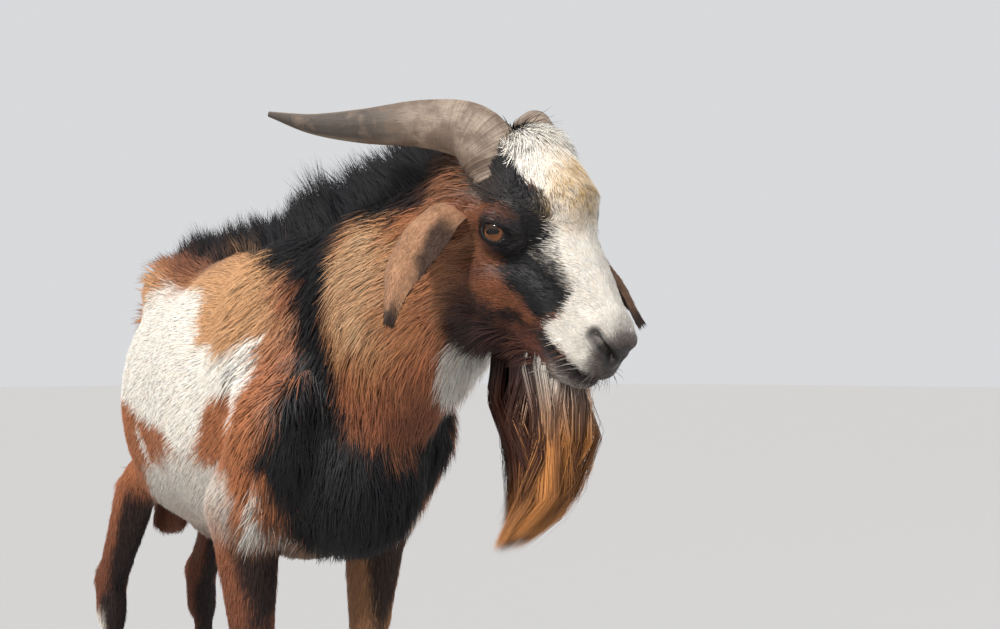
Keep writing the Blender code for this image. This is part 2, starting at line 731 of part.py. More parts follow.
def claw(name, foot, side, inner):
    """Add one of the two claws of a foot, flat underneath and drawn out to a blunt toe.

    Args:
        name: name of the new object.
        foot: middle of the foot on the ground.
        side: -1 on the right of the goat, 1 on its left.
        inner: whether this is the claw nearer the other legs.
    """
    outward = -side if inner else side
    shape = bmesh.new()
    rings = []
    for height, length, width, lean in CLAW_LAYERS:
        ring = []
        for step in range(CLAW_STEPS + 1):
            angle = math.pi * step / CLAW_STEPS
            toe = 1.0 + 0.10 * math.cos(angle)
            along = -math.cos(angle) * HOOF_LENGTH / 2 * length * toe + lean * HOOF_LENGTH / 2
            bulge = math.sin(angle) ** 0.75
            across = CLEFT / 2 + bulge * CLAW_WIDTH * width
            ring.append(shape.verts.new(foot + Vector((outward * across, along, height * HOOF_HEIGHT))))
        rings.append(ring)
    count = CLAW_STEPS + 1
    for first, second in zip(rings, rings[1:]):
        for step in range(count):
            after = (step + 1) % count
            shape.faces.new((first[step], first[after], second[after], second[step]))
    shape.faces.new(rings[0])
    shape.faces.new(rings[-1])
    bmesh.ops.recalc_face_normals(shape, faces=shape.faces)
    bmesh.ops.triangulate(shape, faces=[face for face in shape.faces if len(face.verts) > 4])
    return add_object(name, shape)


def side_name(side):
    """Return the word for a side."""
    return "left" if side > 0 else "right"


def add_claws():
    """Add both claws of all four feet."""
    for hind in (False, True):
        for side in SIDES.values():
            x, y, _ = LEG_JOINTS[(side, hind)][3]
            foot = Vector((side * x, y, 0))
            for inner in (False, True):
                place = "hind" if hind else "front"
                lateral = "inner" if inner else "outer"
                claw(f"hoof_{place}_{side_name(side)}_{lateral}", foot, side, inner)


def seat(parts):
    """Seat horns, ears, eyes and beard in the head, each in a pocket a gap larger than itself."""
    makers = [partial(make, side) for side in SIDES.values() for make in (eye, ear, horn)]
    makers.append(beard)
    for side in SIDES.values():
        opening = eye_opening(side)
        boolean(parts["head"], opening, "DIFFERENCE")
        remove(opening)
    for make in makers:
        tool = make(grown=SEAT_GAP)
        for name in ("head", "neck"):
            boolean(parts[name], tool, "DIFFERENCE")
        remove(tool)
        make()


def drop_slivers(thing):
    """Keep only the largest of the separate pieces that the cuts left of an object."""
    shape = bmesh.new()
    shape.from_mesh(thing.data)
    waiting = set(shape.verts)
    pieces = []
    while waiting:
        piece = set()
        edge_of_piece = [waiting.pop()]
        while edge_of_piece:
            vert = edge_of_piece.pop()
            piece.add(vert)
            beside = {edge.other_vert(vert) for edge in vert.link_edges} & waiting
            waiting -= beside
            edge_of_piece += beside
        pieces.append(piece)
    pieces.sort(key=len)
    slivers = [vert for piece in pieces[:-1] for vert in piece]
    bmesh.ops.delete(shape, geom=slivers, context="VERTS")
    shape.to_mesh(thing.data)
    shape.free()


def cut_feet(parts):
    """Cut the legs flat where the claws begin."""
    floor = box_between("floor", (-0.5, -0.6, -0.2), (0.5, 0.6, HOOF_HEIGHT + GAP))
    for name, part in parts.items():
        if name.startswith("leg"):
            boolean(part, floor, "DIFFERENCE")
    remove(floor)


def paint(thing):
    """Give an object its own plain material."""
    name = thing.name
    kind = next(key for key in sorted(COLOURS, key=len, reverse=True) if name.startswith(key))
    material = bpy.data.materials.new(name)
    material.use_nodes = True
    shader = material.node_tree.nodes["Principled BSDF"]
    shader.inputs["Base Color"].default_value = (*COLOURS[kind], 1.0)
    shader.inputs["Roughness"].default_value = 0.1 if kind == "eye" else 0.75
    thing.data.materials.clear()
    thing.data.materials.append(material)


def centre_model():
    """Shift every mesh so that the middle of the model's box stands over the origin."""
    things = list(bpy.context.collection.objects)
    corners = [vert.co for thing in things for vert in thing.data.vertices]
    low = Vector(map(min, zip(*corners)))
    high = Vector(map(max, zip(*corners)))
    shift = Vector((-(low.x + high.x) / 2, -(low.y + high.y) / 2, -low.z))
    for thing in things:
        thing.data.transform(Matrix.Translation(shift))


def main():
    """Build the goat."""
    for old in list(bpy.data.objects):
        bpy.data.objects.remove(old)
    parts = part_flesh(make_flesh())
    cut_feet(parts)
    seat(parts)
    for part in parts.values():
        drop_slivers(part)
    add_claws()
    centre_model()
    for thing in bpy.context.collection.objects:
        paint(thing)
        thing.data.shade_smooth()


main()
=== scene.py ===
"""A life-size billy goat for a museum floor: skin, coat, horns, ears, eyes, beard and hooves.

Units are metres. +Z is up, the goat faces -Y and its left side is at +X. The flesh is one skin
shaped by stretched balls on named points, in a plan that is moved to where the solid model has
its right eye. The coat is closed spikes of hair that follow the lie of the coat over that skin.
"""

import logging
import math
from dataclasses import dataclass, field, replace
from enum import Enum

import bmesh
import bpy
import numpy as np
from mathutils import Matrix, Vector

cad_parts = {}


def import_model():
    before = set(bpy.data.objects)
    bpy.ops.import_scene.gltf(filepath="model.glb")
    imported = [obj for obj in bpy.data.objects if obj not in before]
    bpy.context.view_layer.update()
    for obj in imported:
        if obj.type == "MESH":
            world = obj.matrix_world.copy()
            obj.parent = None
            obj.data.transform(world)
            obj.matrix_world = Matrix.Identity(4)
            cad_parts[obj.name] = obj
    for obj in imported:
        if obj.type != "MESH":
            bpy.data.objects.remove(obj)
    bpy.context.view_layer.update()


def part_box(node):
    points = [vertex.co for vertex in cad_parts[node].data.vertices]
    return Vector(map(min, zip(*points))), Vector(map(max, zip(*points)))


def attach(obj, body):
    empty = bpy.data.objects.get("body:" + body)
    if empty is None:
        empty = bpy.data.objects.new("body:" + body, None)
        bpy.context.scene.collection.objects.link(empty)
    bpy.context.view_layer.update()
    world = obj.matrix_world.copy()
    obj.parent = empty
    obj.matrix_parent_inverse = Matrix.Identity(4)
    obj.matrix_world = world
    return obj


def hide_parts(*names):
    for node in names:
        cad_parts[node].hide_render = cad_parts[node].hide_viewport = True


LOG = logging.getLogger("goat")

UP = Vector((0, 0, 1))
UP_ROW = np.array(UP)
FORWARD = Vector((0, -1, 0))
BODY = "root"
BAKE_MAP = "OFBake"
TINT = "tint"
LIE = "lie"
BARE = "bare"
SIGHT = "sight"


class Side(Enum):
    """The two sides of the goat, by the sign of x."""

    RIGHT = -1
    LEFT = 1

    @property
    def word(self) -> str:
        """Return the side's word in node names."""
        return self.name.lower()


class Part(Enum):
    """Parts of the flesh whose coat lies the same way."""

    TRUNK = "trunk"
    NECK = "neck"
    HEAD = "head"
    TAIL = "tail"
    BELLY = "belly"
    LEG = "leg"


# How softly neighbouring forms run into each other
SOFT = 0.030
FIRM = 0.016
TIGHT = 0.009

# Trunk: places along the body, and how far its rear swings to the left for each metre behind the chest
SWAY = 0.070
CHEST = Vector((0, -0.215, 0.545))
GIRTH = Vector((0, -0.060, 0.530))
FLANK = Vector((0, 0.090, 0.520))
LOIN = Vector((0, 0.150, 0.570))
WITHERS = Vector((0, -0.150, 0.650))
RUMP = Vector((0, 0.188, 0.592))

# Head: the point midway between the eyes, and how far the head is turned left and lowered
HEAD_AT = Vector((0.055, -0.502, 0.690))
HEAD_TURN = math.radians(9.0)
HEAD_DROP = math.radians(38.0)
NECK_MIDDLE = Vector((0.016, -0.358, 0.636))
EYE_AT = Vector((0.0455, -0.008, 0.006))
EYE_RADIUS = 0.0145
EYE_OPENING = (0.0134, 0.0075)
EYE_TILT = math.radians(-12)
EYE_GAZE = Vector((0.90, -0.42, 0.12)).normalized()

# Scrotum: the middle of its neck, between the thighs
SCROTUM_AT = Vector((0.0155, 0.222, 0.425))

# Horn: where it leaves the head, and its line from there, for the left side
HORN_BASE = (0.030, 0.054, 0.038)
HORN_LINE = (
    (-0.002, -0.010, -0.018),
    (0.000, 0.000, 0.008),
    (0.010, 0.018, 0.027),
    (0.034, 0.052, 0.034),
    (0.066, 0.093, 0.033),
    (0.094, 0.131, 0.036),
    (0.118, 0.164, 0.046),
)

# Elbow or stifle, knee or hock, fetlock and foot of each leg: how far out, how far back, how high
LEG_JOINTS = {
    (Side.RIGHT, False): (
        (0.078, -0.200, 0.430), (0.073, -0.212, 0.250), (0.073, -0.210, 0.095), (0.073, -0.228, 0.0)),
    (Side.LEFT, False): (
        (0.072, -0.200, 0.430), (0.060, -0.203, 0.250), (0.060, -0.200, 0.095), (0.060, -0.218, 0.0)),
    (Side.RIGHT, True): (
        (0.047, 0.148, 0.420), (0.048, 0.262, 0.268), (0.052, 0.242, 0.095), (0.052, 0.222, 0.0)),
    (Side.LEFT, True): (
        (0.078, 0.148, 0.420), (0.074, 0.266, 0.268), (0.070, 0.246, 0.095), (0.070, 0.226, 0.0)),
}


def head_frame() -> Matrix:
    """Return the head's frame: x to the goat's left, y back along the face, z up through the crown.

    Returns:
        The frame as a matrix, with its origin midway between the eyes.
    """
    level = Vector((math.sin(HEAD_TURN), -math.cos(HEAD_TURN), 0))
    forward = level * math.cos(HEAD_DROP) - UP * math.sin(HEAD_DROP)
    left = Vector((math.cos(HEAD_TURN), math.sin(HEAD_TURN), 0))
    crown = left.cross(-forward)
    frame = Matrix((left, -forward, crown)).transposed().to_4x4()
    frame.translation = HEAD_AT
    return frame


def level_frame(point: Vector) -> Matrix:
    """Return a frame at a point of the head, turned with it but level with the ground.

    Args:
        point: the point in the head's frame.

    Returns:
        The frame as a matrix.
    """
    return Matrix.Translation(head_frame() @ Vector(point)) @ Matrix.Rotation(HEAD_TURN, 4, "Z")


def eye_axes() -> tuple:
    """Return the left eye's line of sight, its slit's way and the way up across it, in the head's frame.

    Returns:
        Three vectors of length one.
    """
    slit = Vector((0.0, math.cos(EYE_TILT), math.sin(EYE_TILT)))
    slit = (slit - EYE_GAZE * slit.dot(EYE_GAZE)).normalized()
    return EYE_GAZE, slit, EYE_GAZE.cross(slit)


def opening_share(mirrored: np.ndarray) -> np.ndarray:
    """Return how far each point is from the line of sight against the edge of the lids.

    Args:
        mirrored: points in the head's frame, all brought to the left side.

    Returns:
        One share a point, and 9 behind the eye.
    """
    sight, slit, upward = (np.array(axis) for axis in eye_axes())
    offset = mirrored - np.array(EYE_AT)
    wide, tall = EYE_OPENING
    share = np.hypot(offset @ slit / wide, offset @ upward / tall)
    return np.where(offset @ sight > 0, share, 9.0)


def left_flip(head: np.ndarray) -> np.ndarray:
    """Return the factors that bring points of the head's frame to its left side."""
    return np.where(head[:, :1] < 0, np.array((-1.0, 1.0, 1.0)), 1.0)


def mirrored_to_left(head: np.ndarray) -> np.ndarray:
    """Return points of the head's frame with those of the right side brought to the left."""
    return head * left_flip(head)


@dataclass
class Form:
    """A stretched ball swept straight from start to end.

    Args:
        start, end: centres of the two ends.
        start_size, end_size: half width and half depth at each end.
        blend: how softly the form runs into its neighbours.
        up: the way the depth is measured.
        tip: how far the round ends reach past start and end; the smaller half size by default.
        part: the part of the flesh it belongs to.
    """

    start: Vector
    end: Vector
    start_size: tuple
    end_size: tuple
    blend: float = SOFT
    up: Vector = field(default_factory=lambda: UP.copy())
    tip: float = 0.0
    part: Part = Part.TRUNK

    def axes(self) -> tuple:
        """Return the form's axes across, up and along, and its length.

        Returns:
            Three vectors of length one, and the length in metres.
        """
        span = self.end - self.start
        along = span.normalized()
        across = self.up.cross(along).normalized()
        return across, along.cross(across), along, span.length

    def tips(self) -> tuple:
        """Return how far the round ends reach past start and end."""
        return (self.tip or min(self.start_size), self.tip or min(self.end_size))

    def moved(self, matrix: Matrix) -> "Form":
        """Return the form carried into another frame.

        Args:
            matrix: the frame it is carried by.

        Returns:
            The moved form; this one stays as it is.
        """
        turn = matrix.to_3x3()
        return replace(self, start=matrix @ self.start, end=matrix @ self.end, up=turn @ self.up)

    def mirrored(self) -> "Form":
        """Return the same form on the other side of the body."""
        flip = Vector((-1, 1, 1))
        return replace(self, start=self.start * flip, end=self.end * flip, up=self.up * flip)

    def swayed(self) -> "Form":
        """Return the form moved with the swing of the body."""
        return replace(self, start=swung(self.start), end=swung(self.end))

    def reach(self) -> tuple:
        """Return the middle and radius of a ball that holds the form."""
        size = max(*self.start_size, *self.end_size, *self.tips())
        return np.array((self.start + self.end) / 2), (self.end - self.start).length / 2 + size

    def distance(self, points: np.ndarray) -> np.ndarray:
        """Return roughly how far each point is outside this form.

        Args:
            points: places, one a row.

        Returns:
            One distance a point, negative inside.
        """
        across, upward, along, length = (np.array(a) for a in self.axes())
        offset = points - np.array(self.start)
        reach = offset @ along
        share = np.clip(reach / length, 0.0, 1.0)
        sizes = []
        for first, last in zip((*self.start_size, self.tips()[0]), (*self.end_size, self.tips()[1])):
            sizes.append(first + (last - first) * share)
        local = (offset @ across, offset @ upward, reach - share * length)
        near = np.sqrt(sum((p / s) ** 2 for p, s in zip(local, sizes)))
        slope = np.sqrt(sum((p / s**2) ** 2 for p, s in zip(local, sizes))) + 1e-9
        return near * (near - 1.0) / slope


def pair(form: Form) -> list:
    """Return a form and its mirror image."""
    return [form, form.mirrored()]


def swung(point: Vector) -> Vector:
    """Return a point of the rear moved left by as much as the body swings there."""
    return point + Vector((SWAY * max(point.y - CHEST.y, 0.0), 0, 0))


def trunk_forms() -> list:
    """Return the forms of the chest, barrel, loin, rump, shoulders and thighs.

    Returns:
        The forms in blending order.
    """
    v = Vector
    behind = WITHERS + FORWARD * -0.07
    forms = [
        Form(CHEST, GIRTH, (0.080, 0.135), (0.110, 0.150)),
        Form(GIRTH, FLANK, (0.110, 0.150), (0.112, 0.148)),
        Form(FLANK + UP * 0.026, LOIN, (0.088, 0.118), (0.068, 0.098)),
        Form(RUMP + v((0, -0.06, 0.012)), RUMP, (0.058, 0.078), (0.040, 0.060)),
        Form(WITHERS + FORWARD * 0.075, behind, (0.032, 0.045), (0.038, 0.030)),
        Form(behind, LOIN + UP * 0.090, (0.042, 0.025), (0.042, 0.024)),
        Form(v((0, -0.290, 0.476)), v((0, -0.180, 0.440)), (0.060, 0.078), (0.074, 0.070)),
    ]
    forms += pair(Form(v((0.052, 0.115, 0.650)), v((0.052, 0.138, 0.650)), (0.023, 0.023), (0.023, 0.023)))
    forms += pair(Form(v((0.028, 0.208, 0.614)), v((0.028, 0.222, 0.610)), (0.021, 0.021), (0.020, 0.020)))
    limbs = [
        (v((0.030, -0.155, 0.640)), v((0.074, -0.270, 0.520)), (0.026, 0.060), (0.030, 0.055)),
        (v((0.074, -0.268, 0.510)), v((0.078, -0.200, 0.430)), (0.030, 0.050), (0.030, 0.050)),
        (v((0.036, 0.140, 0.560)), v((0.052, 0.146, 0.436)), (0.032, 0.076), (0.025, 0.050)),
        (v((0.026, 0.190, 0.565)), v((0.042, 0.202, 0.440)), (0.028, 0.045), (0.022, 0.040)),
    ]
    for limb in limbs:
        forms += pair(Form(*limb, up=FORWARD))
    return [form.swayed() for form in forms]


def leg_forms(side: Side, hind: bool) -> list:
    """Return the forms of one leg, from the elbow or stifle down to the foot.

    Args:
        side: the side that the leg is on.
        hind: whether this is a hind leg.

    Returns:
        The forms in blending order.
    """
    v = Vector
    top, knee, fetlock, foot = (v((side.value * x, y, z)) for x, y, z in LEG_JOINTS[(side, hind)])
    if hind:
        cannon = (0.0105, 0.0140)
        stifle = top + v((0, 0.014, 0))
        forms = [
            Form(stifle, knee + v((0, -0.012, 0.030)), (0.017, 0.032), (0.0125, 0.0165), FIRM),
            Form(top + v((0, 0.055, -0.010)), knee + v((0, 0.015, 0.020)), (0.010, 0.016), (0.006, 0.008)),
            Form(knee + UP * 0.020, knee - UP * 0.025, (0.0135, 0.0185), (0.012, 0.0165), TIGHT),
            Form(knee + v((0, 0.015, 0.022)), knee + v((0, 0.010, -0.02)), (0.008, 0.009), (0.007, 0.008)),
        ]
    else:
        cannon = (0.0122, 0.0145)
        forms = [
            Form(top, knee + UP * 0.030, (0.032, 0.046), (0.0175, 0.0205), FIRM),
            Form(knee + UP * 0.022, knee - UP * 0.020, (0.0195, 0.0215), (0.016, 0.019), TIGHT),
        ]
    forms += [
        Form(knee, fetlock, cannon, (0.0110, 0.0135), TIGHT),
        Form(fetlock + UP * 0.008, fetlock - UP * 0.004, (0.0165, 0.019), (0.0165, 0.019), TIGHT),
        Form(fetlock, foot + v((0, 0.004, 0.045)), (0.014, 0.0165), (0.018, 0.021), TIGHT),
        Form(foot + UP * 0.045, foot + UP * 0.020, (0.018, 0.022), (0.0215, 0.0255), TIGHT),
    ]
    return [replace(form, up=FORWARD, part=Part.LEG) for form in forms]


def head_forms() -> list:
    """Return the forms of the skull, face, muzzle and jaw.

    Returns:
        The forms in blending order.
    """
    v = Vector
    forms = [
        Form(v((0, 0.050, 0.005)), v((0, -0.002, 0.006)), (0.048, 0.050), (0.050, 0.042), FIRM, tip=0.034),
        Form(v((0, 0.036, 0.045)), v((0, -0.012, 0.037)), (0.040, 0.037), (0.036, 0.036), FIRM, tip=0.034),
        Form(v((0, -0.020, 0.028)), v((0, -0.120, -0.004)), (0.031, 0.024), (0.019, 0.017), FIRM),
        Form(v((0, -0.010, -0.030)), v((0, -0.118, -0.028)), (0.042, 0.045), (0.025, 0.026), FIRM),
        Form(v((0, -0.124, -0.014)), v((0, -0.135, -0.017)), (0.021, 0.020), (0.018, 0.018), TIGHT),
        Form(v((0, -0.106, -0.039)), v((0, -0.134, -0.038)), (0.025, 0.014), (0.020, 0.013), TIGHT),
        Form(v((0, -0.020, -0.070)), v((0, -0.116, -0.060)), (0.028, 0.022), (0.017, 0.010), FIRM),
        Form(v((0, -0.106, -0.062)), v((0, -0.127, -0.058)), (0.017, 0.011), (0.015, 0.009), TIGHT),
    ]
    eye_sizes = ((0.019, 0.019), (0.019, 0.019))
    jaw_sizes = ((0.018, 0.036), (0.012, 0.024))
    twins = [
        Form(v((0.041, -0.004, 0.008)), v((0.041, -0.009, 0.006)), *eye_sizes, TIGHT, tip=0.020),
        Form(v((0.014, -0.130, -0.008)), v((0.013, -0.138, -0.011)), (0.0085, 0.009), (0.0085, 0.009), TIGHT),
        Form(v((0.034, -0.012, -0.045)), v((0.030, -0.030, -0.078)), *jaw_sizes, FIRM, FORWARD),
        Form(v((0.045, 0.035, -0.005)), v((0.052, 0.035, -0.014)), (0.014, 0.016), (0.014, 0.016), FIRM),
    ]
    for twin in twins:
        forms += pair(twin)
    return [replace(form.moved(head_frame()), part=Part.HEAD) for form in forms]


def neck_forms() -> list:
    """Return the forms of the neck, from the shoulders to behind the jaw.

    Returns:
        The forms in blending order.
    """
    head = head_frame()
    nape = head @ Vector((0, 0.050, -0.015))
    throat = head @ Vector((0, 0.030, -0.050))
    poll = head @ Vector((0, 0.075, 0.020))
    forms = [
        Form(Vector((0, -0.200, 0.580)), NECK_MIDDLE, (0.072, 0.105), (0.052, 0.085)),
        Form(NECK_MIDDLE, nape, (0.052, 0.085), (0.044, 0.058)),
        Form(Vector((0.006, -0.264, 0.502)), throat, (0.053, 0.059), (0.038, 0.040)),
        Form(Vector((0, -0.200, 0.655)), poll, (0.022, 0.025), (0.022, 0.025)),
    ]
    return [replace(form, part=Part.NECK) for form in forms]


def tail_forms() -> list:
    """Return the short tail, held out and slightly down.

    Returns:
        The forms in blending order.
    """
    root, middle, end = (swung(Vector(p)) for p in ((0, 0.205, 0.640), (0, 0.260, 0.642), (0, 0.305, 0.600)))
    forms = [
        Form(root, middle, (0.018, 0.016), (0.014, 0.012), FIRM),
        Form(middle, end, (0.014, 0.012), (0.008, 0.006), FIRM),
    ]
    return [replace(form, part=Part.TAIL) for form in forms]


def belly_forms() -> list:
    """Return the scrotum and the sheath.

    Returns:
        The forms in blending order.
    """
    v = Vector
    pouch = Form(v((0.005, 0, 0)), v((0.007, 0.008, -0.062)), (0.010, 0.018), (0.0125, 0.021), TIGHT, FORWARD)
    forms = [form.moved(Matrix.Translation(SCROTUM_AT)) for form in pair(pouch)]
    forms.append(Form(v((0.01, 0.100, 0.382)), v((0.01, 0.040, 0.370)), (0.018, 0.016), (0.014, 0.013), FIRM))
    return [replace(form, part=Part.BELLY) for form in forms]


def all_forms() -> list:
    """Return every form of the flesh, in the order in which they are blended.

    Returns:
        The forms in blending order.
    """
    forms = trunk_forms() + neck_forms() + head_forms() + tail_forms() + belly_forms()
    for hind in (False, True):
        for side in (Side.RIGHT, Side.LEFT):
            forms += leg_forms(side, hind)
    return forms


def flesh_distance(points: np.ndarray, forms: list) -> np.ndarray:
    """Return roughly how far each point is outside the blended forms.

    Args:
        points: places, one a row.
        forms: the forms in blending order.

    Returns:
        One distance a point, negative inside.
    """
    far_outside, margin = 1.0, 0.05
    total = np.full(len(points), far_outside)
    for form in forms:
        middle, radius = form.reach()
        near = np.linalg.norm(points - middle, axis=1) < radius + margin
        if not near.any():
            continue
        other = form.distance(points[near])
        here = total[near]
        overlap = np.maximum(form.blend - np.abs(here - other), 0.0) / form.blend
        total[near] = np.minimum(here, other) - overlap**2 * form.blend / 4
    return total


def settle(points: np.ndarray, forms: list, steps: int = 4) -> np.ndarray:
    """Return points moved onto the surface of the blended forms.

    Args:
        points: places near the surface.
        forms: the forms in blending order.
        steps: how many times each point is corrected.

    Returns:
        The moved points, one a row.
    """
    step, furthest, flattest = 0.0005, 0.006, 0.2
    for _ in range(steps):
        here = flesh_distance(points, forms)
        slope = np.empty_like(points)
        for axis in range(3):
            nudge = np.zeros(3)
            nudge[axis] = step
            slope[:, axis] = (flesh_distance(points + nudge, forms) - here) / step
        steep = np.maximum((slope**2).sum(1), flattest)
        points = points - np.clip(here, -furthest, furthest)[:, None] * slope / steep[:, None]
    return points


def carried(points: np.ndarray, matrix: Matrix) -> np.ndarray:
    """Return points carried by a matrix."""
    turn = np.array(matrix.to_3x3())
    return points @ turn.T + np.array(matrix.translation)


def turned(vectors: np.ndarray, matrix: Matrix) -> np.ndarray:
    """Return directions turned by a matrix."""
    return vectors @ np.array(matrix.to_3x3()).T


def unit(vectors: np.ndarray) -> np.ndarray:
    """Return vectors scaled to length one."""
    return vectors / np.maximum(np.linalg.norm(vectors, axis=-1, keepdims=True), 1e-9)


def ease(values: np.ndarray, low: float, high: float) -> np.ndarray:
    """Return a smooth step from 0 at low to 1 at high."""
    t = np.clip((values - low) / (high - low), 0.0, 1.0)
    return t * t * (3 - 2 * t)


def grain(points: np.ndarray, size: float, seed: int) -> np.ndarray:
    """Return smooth random values from -1 to 1 that change over a given size.

    Args:
        points: places, one a row.
        size: distance between the random values.
        seed: which set of random values.

    Returns:
        One value a point.
    """
    place = points / size
    cell = np.floor(place).astype(np.int64)
    t = place - cell
    t = t * t * (3 - 2 * t)
    total = np.zeros(len(points))
    for corner in range(8):
        bits = np.array([corner & 1, corner >> 1 & 1, corner >> 2 & 1])
        spot = cell + bits
        key = (spot[:, 0] * 73856093) ^ (spot[:, 1] * 19349663) ^ (spot[:, 2] * 83492791)
        key = key ^ (seed * 2654435761)
        key = (key ^ (key >> 13)) * 1274126177 & 0xFFFFFFFF
        value = ((key ^ (key >> 16)) & 0xFFFF) / 32767.5 - 1.0
        weight = np.prod(np.where(bits, t, 1 - t), axis=1)
        total += value * weight
    return total


def grain_vector(points: np.ndarray, size: float, seed: int) -> np.ndarray:
    """Return smooth random vectors that change over a given size."""
    return np.stack([grain(points, size, seed + axis) for axis in range(3)], axis=1)


def rows(*columns: object) -> np.ndarray:
    """Return columns side by side as rows, with a number filling its whole column."""
    return np.stack(np.broadcast_arrays(*columns), axis=1).astype(float)


def blended(first: np.ndarray, second: np.ndarray, share: np.ndarray) -> np.ndarray:
    """Return rows that go from the first to the second by each row's share."""
    return first * (1 - share[:, None]) + second * share[:, None]


def distance_from(points: np.ndarray, centre: Vector, stretch: tuple = (1.0, 1.0, 1.0)) -> np.ndarray:
    """Return how far points are from a centre, counted with each axis stretched."""
    return np.linalg.norm((points - np.array(centre)) * stretch, axis=1)


def shade(red: int, green: int, blue: int) -> np.ndarray:
    """Return a linear colour from everyday 0 to 255 values."""
    values = np.array((red, green, blue)) / 255
    return np.where(values <= 0.04045, values / 12.92, ((values + 0.055) / 1.055) ** 2.4)


class Hue(Enum):
    """Colours of the coat and the bare skin."""

    WHITE = (236, 229, 219)
    CREAM = (212, 184, 148)
    TAN = (198, 150, 108)
    BROWN = (166, 104, 68)
    RUST = (152, 94, 64)
    MAROON = (96, 56, 44)
    PITCH = (9, 8, 9)
    # Near-black painted shade for the insides of the nostrils and the slit of the mouth
    BLACK = (21, 20, 23)
    SLATE = (60, 56, 58)
    GREY = (206, 198, 188)
    ORANGE = (196, 132, 76)
    GOLD = (196, 164, 116)
    UMBER = (172, 122, 80)
    SKIN = (112, 70, 56)
    NOSE = (92, 82, 78)

    @property
    def linear(self) -> np.ndarray:
        """Return the colour as the shaders want it."""
        return shade(*self.value)


def outline_distance(places: np.ndarray, outline: tuple) -> np.ndarray:
    """Return how far flat points are outside a closed outline, negative inside it.

    Args:
        places: flat points, one a row.
        outline: corners of the outline in order.

    Returns:
        One distance a point.
    """
    corners = np.array(outline, float)
    nearest = np.full(len(places), 1e9)
    inside = np.zeros(len(places), bool)
    for first, last in zip(corners, np.roll(corners, -1, axis=0)):
        edge = last - first
        offset = places - first
        share = np.clip(offset @ edge / (edge @ edge), 0, 1)
        nearest = np.minimum(nearest, np.linalg.norm(offset - share[:, None] * edge, axis=1))
        crosses = (first[1] > places[:, 1]) != (last[1] > places[:, 1])
        slope = edge[0] / (edge[1] or 1e-9)
        inside ^= crosses & (places[:, 0] < first[0] + (places[:, 1] - first[1]) * slope)
    return np.where(inside, -nearest, nearest)


def line_distance(points: np.ndarray, line: np.ndarray) -> np.ndarray:
    """Return how far points are from a bent line.

    Args:
        points: places, one a row.
        line: the corners of the line.

    Returns:
        One distance a point.
    """
    nearest = np.full(len(points), 1e9)
    for first, last in zip(line, line[1:]):
        edge = last - first
        offset = points - first
        share = np.clip(offset @ edge / (edge @ edge), 0, 1)
        nearest = np.minimum(nearest, np.linalg.norm(offset - share[:, None] * edge, axis=1))
    return nearest


@dataclass(frozen=True)
class Mark:
    """A patch of colour seen from the side of the body or of the head.

    Args:
        hue: colour of the patch.
        outline: corners as (back, up) pairs.
        side: the side that carries it, or None for both.
        edge: how softly it ends.
        ragged: how far its edge wanders.
        strength: how fully it covers what is under it.
    """

    hue: Hue
    outline: tuple
    side: Side | None = None
    edge: float = 0.005
    ragged: float = 0.007
    strength: float = 1.0

    def cover(self, flat: np.ndarray, wander: np.ndarray) -> np.ndarray:
        """Return how fully it covers flat points, whose edges stray by wander."""
        spread = outline_distance(flat, self.outline) + self.ragged * wander
        return ease(-spread, -self.edge, self.edge) * self.strength


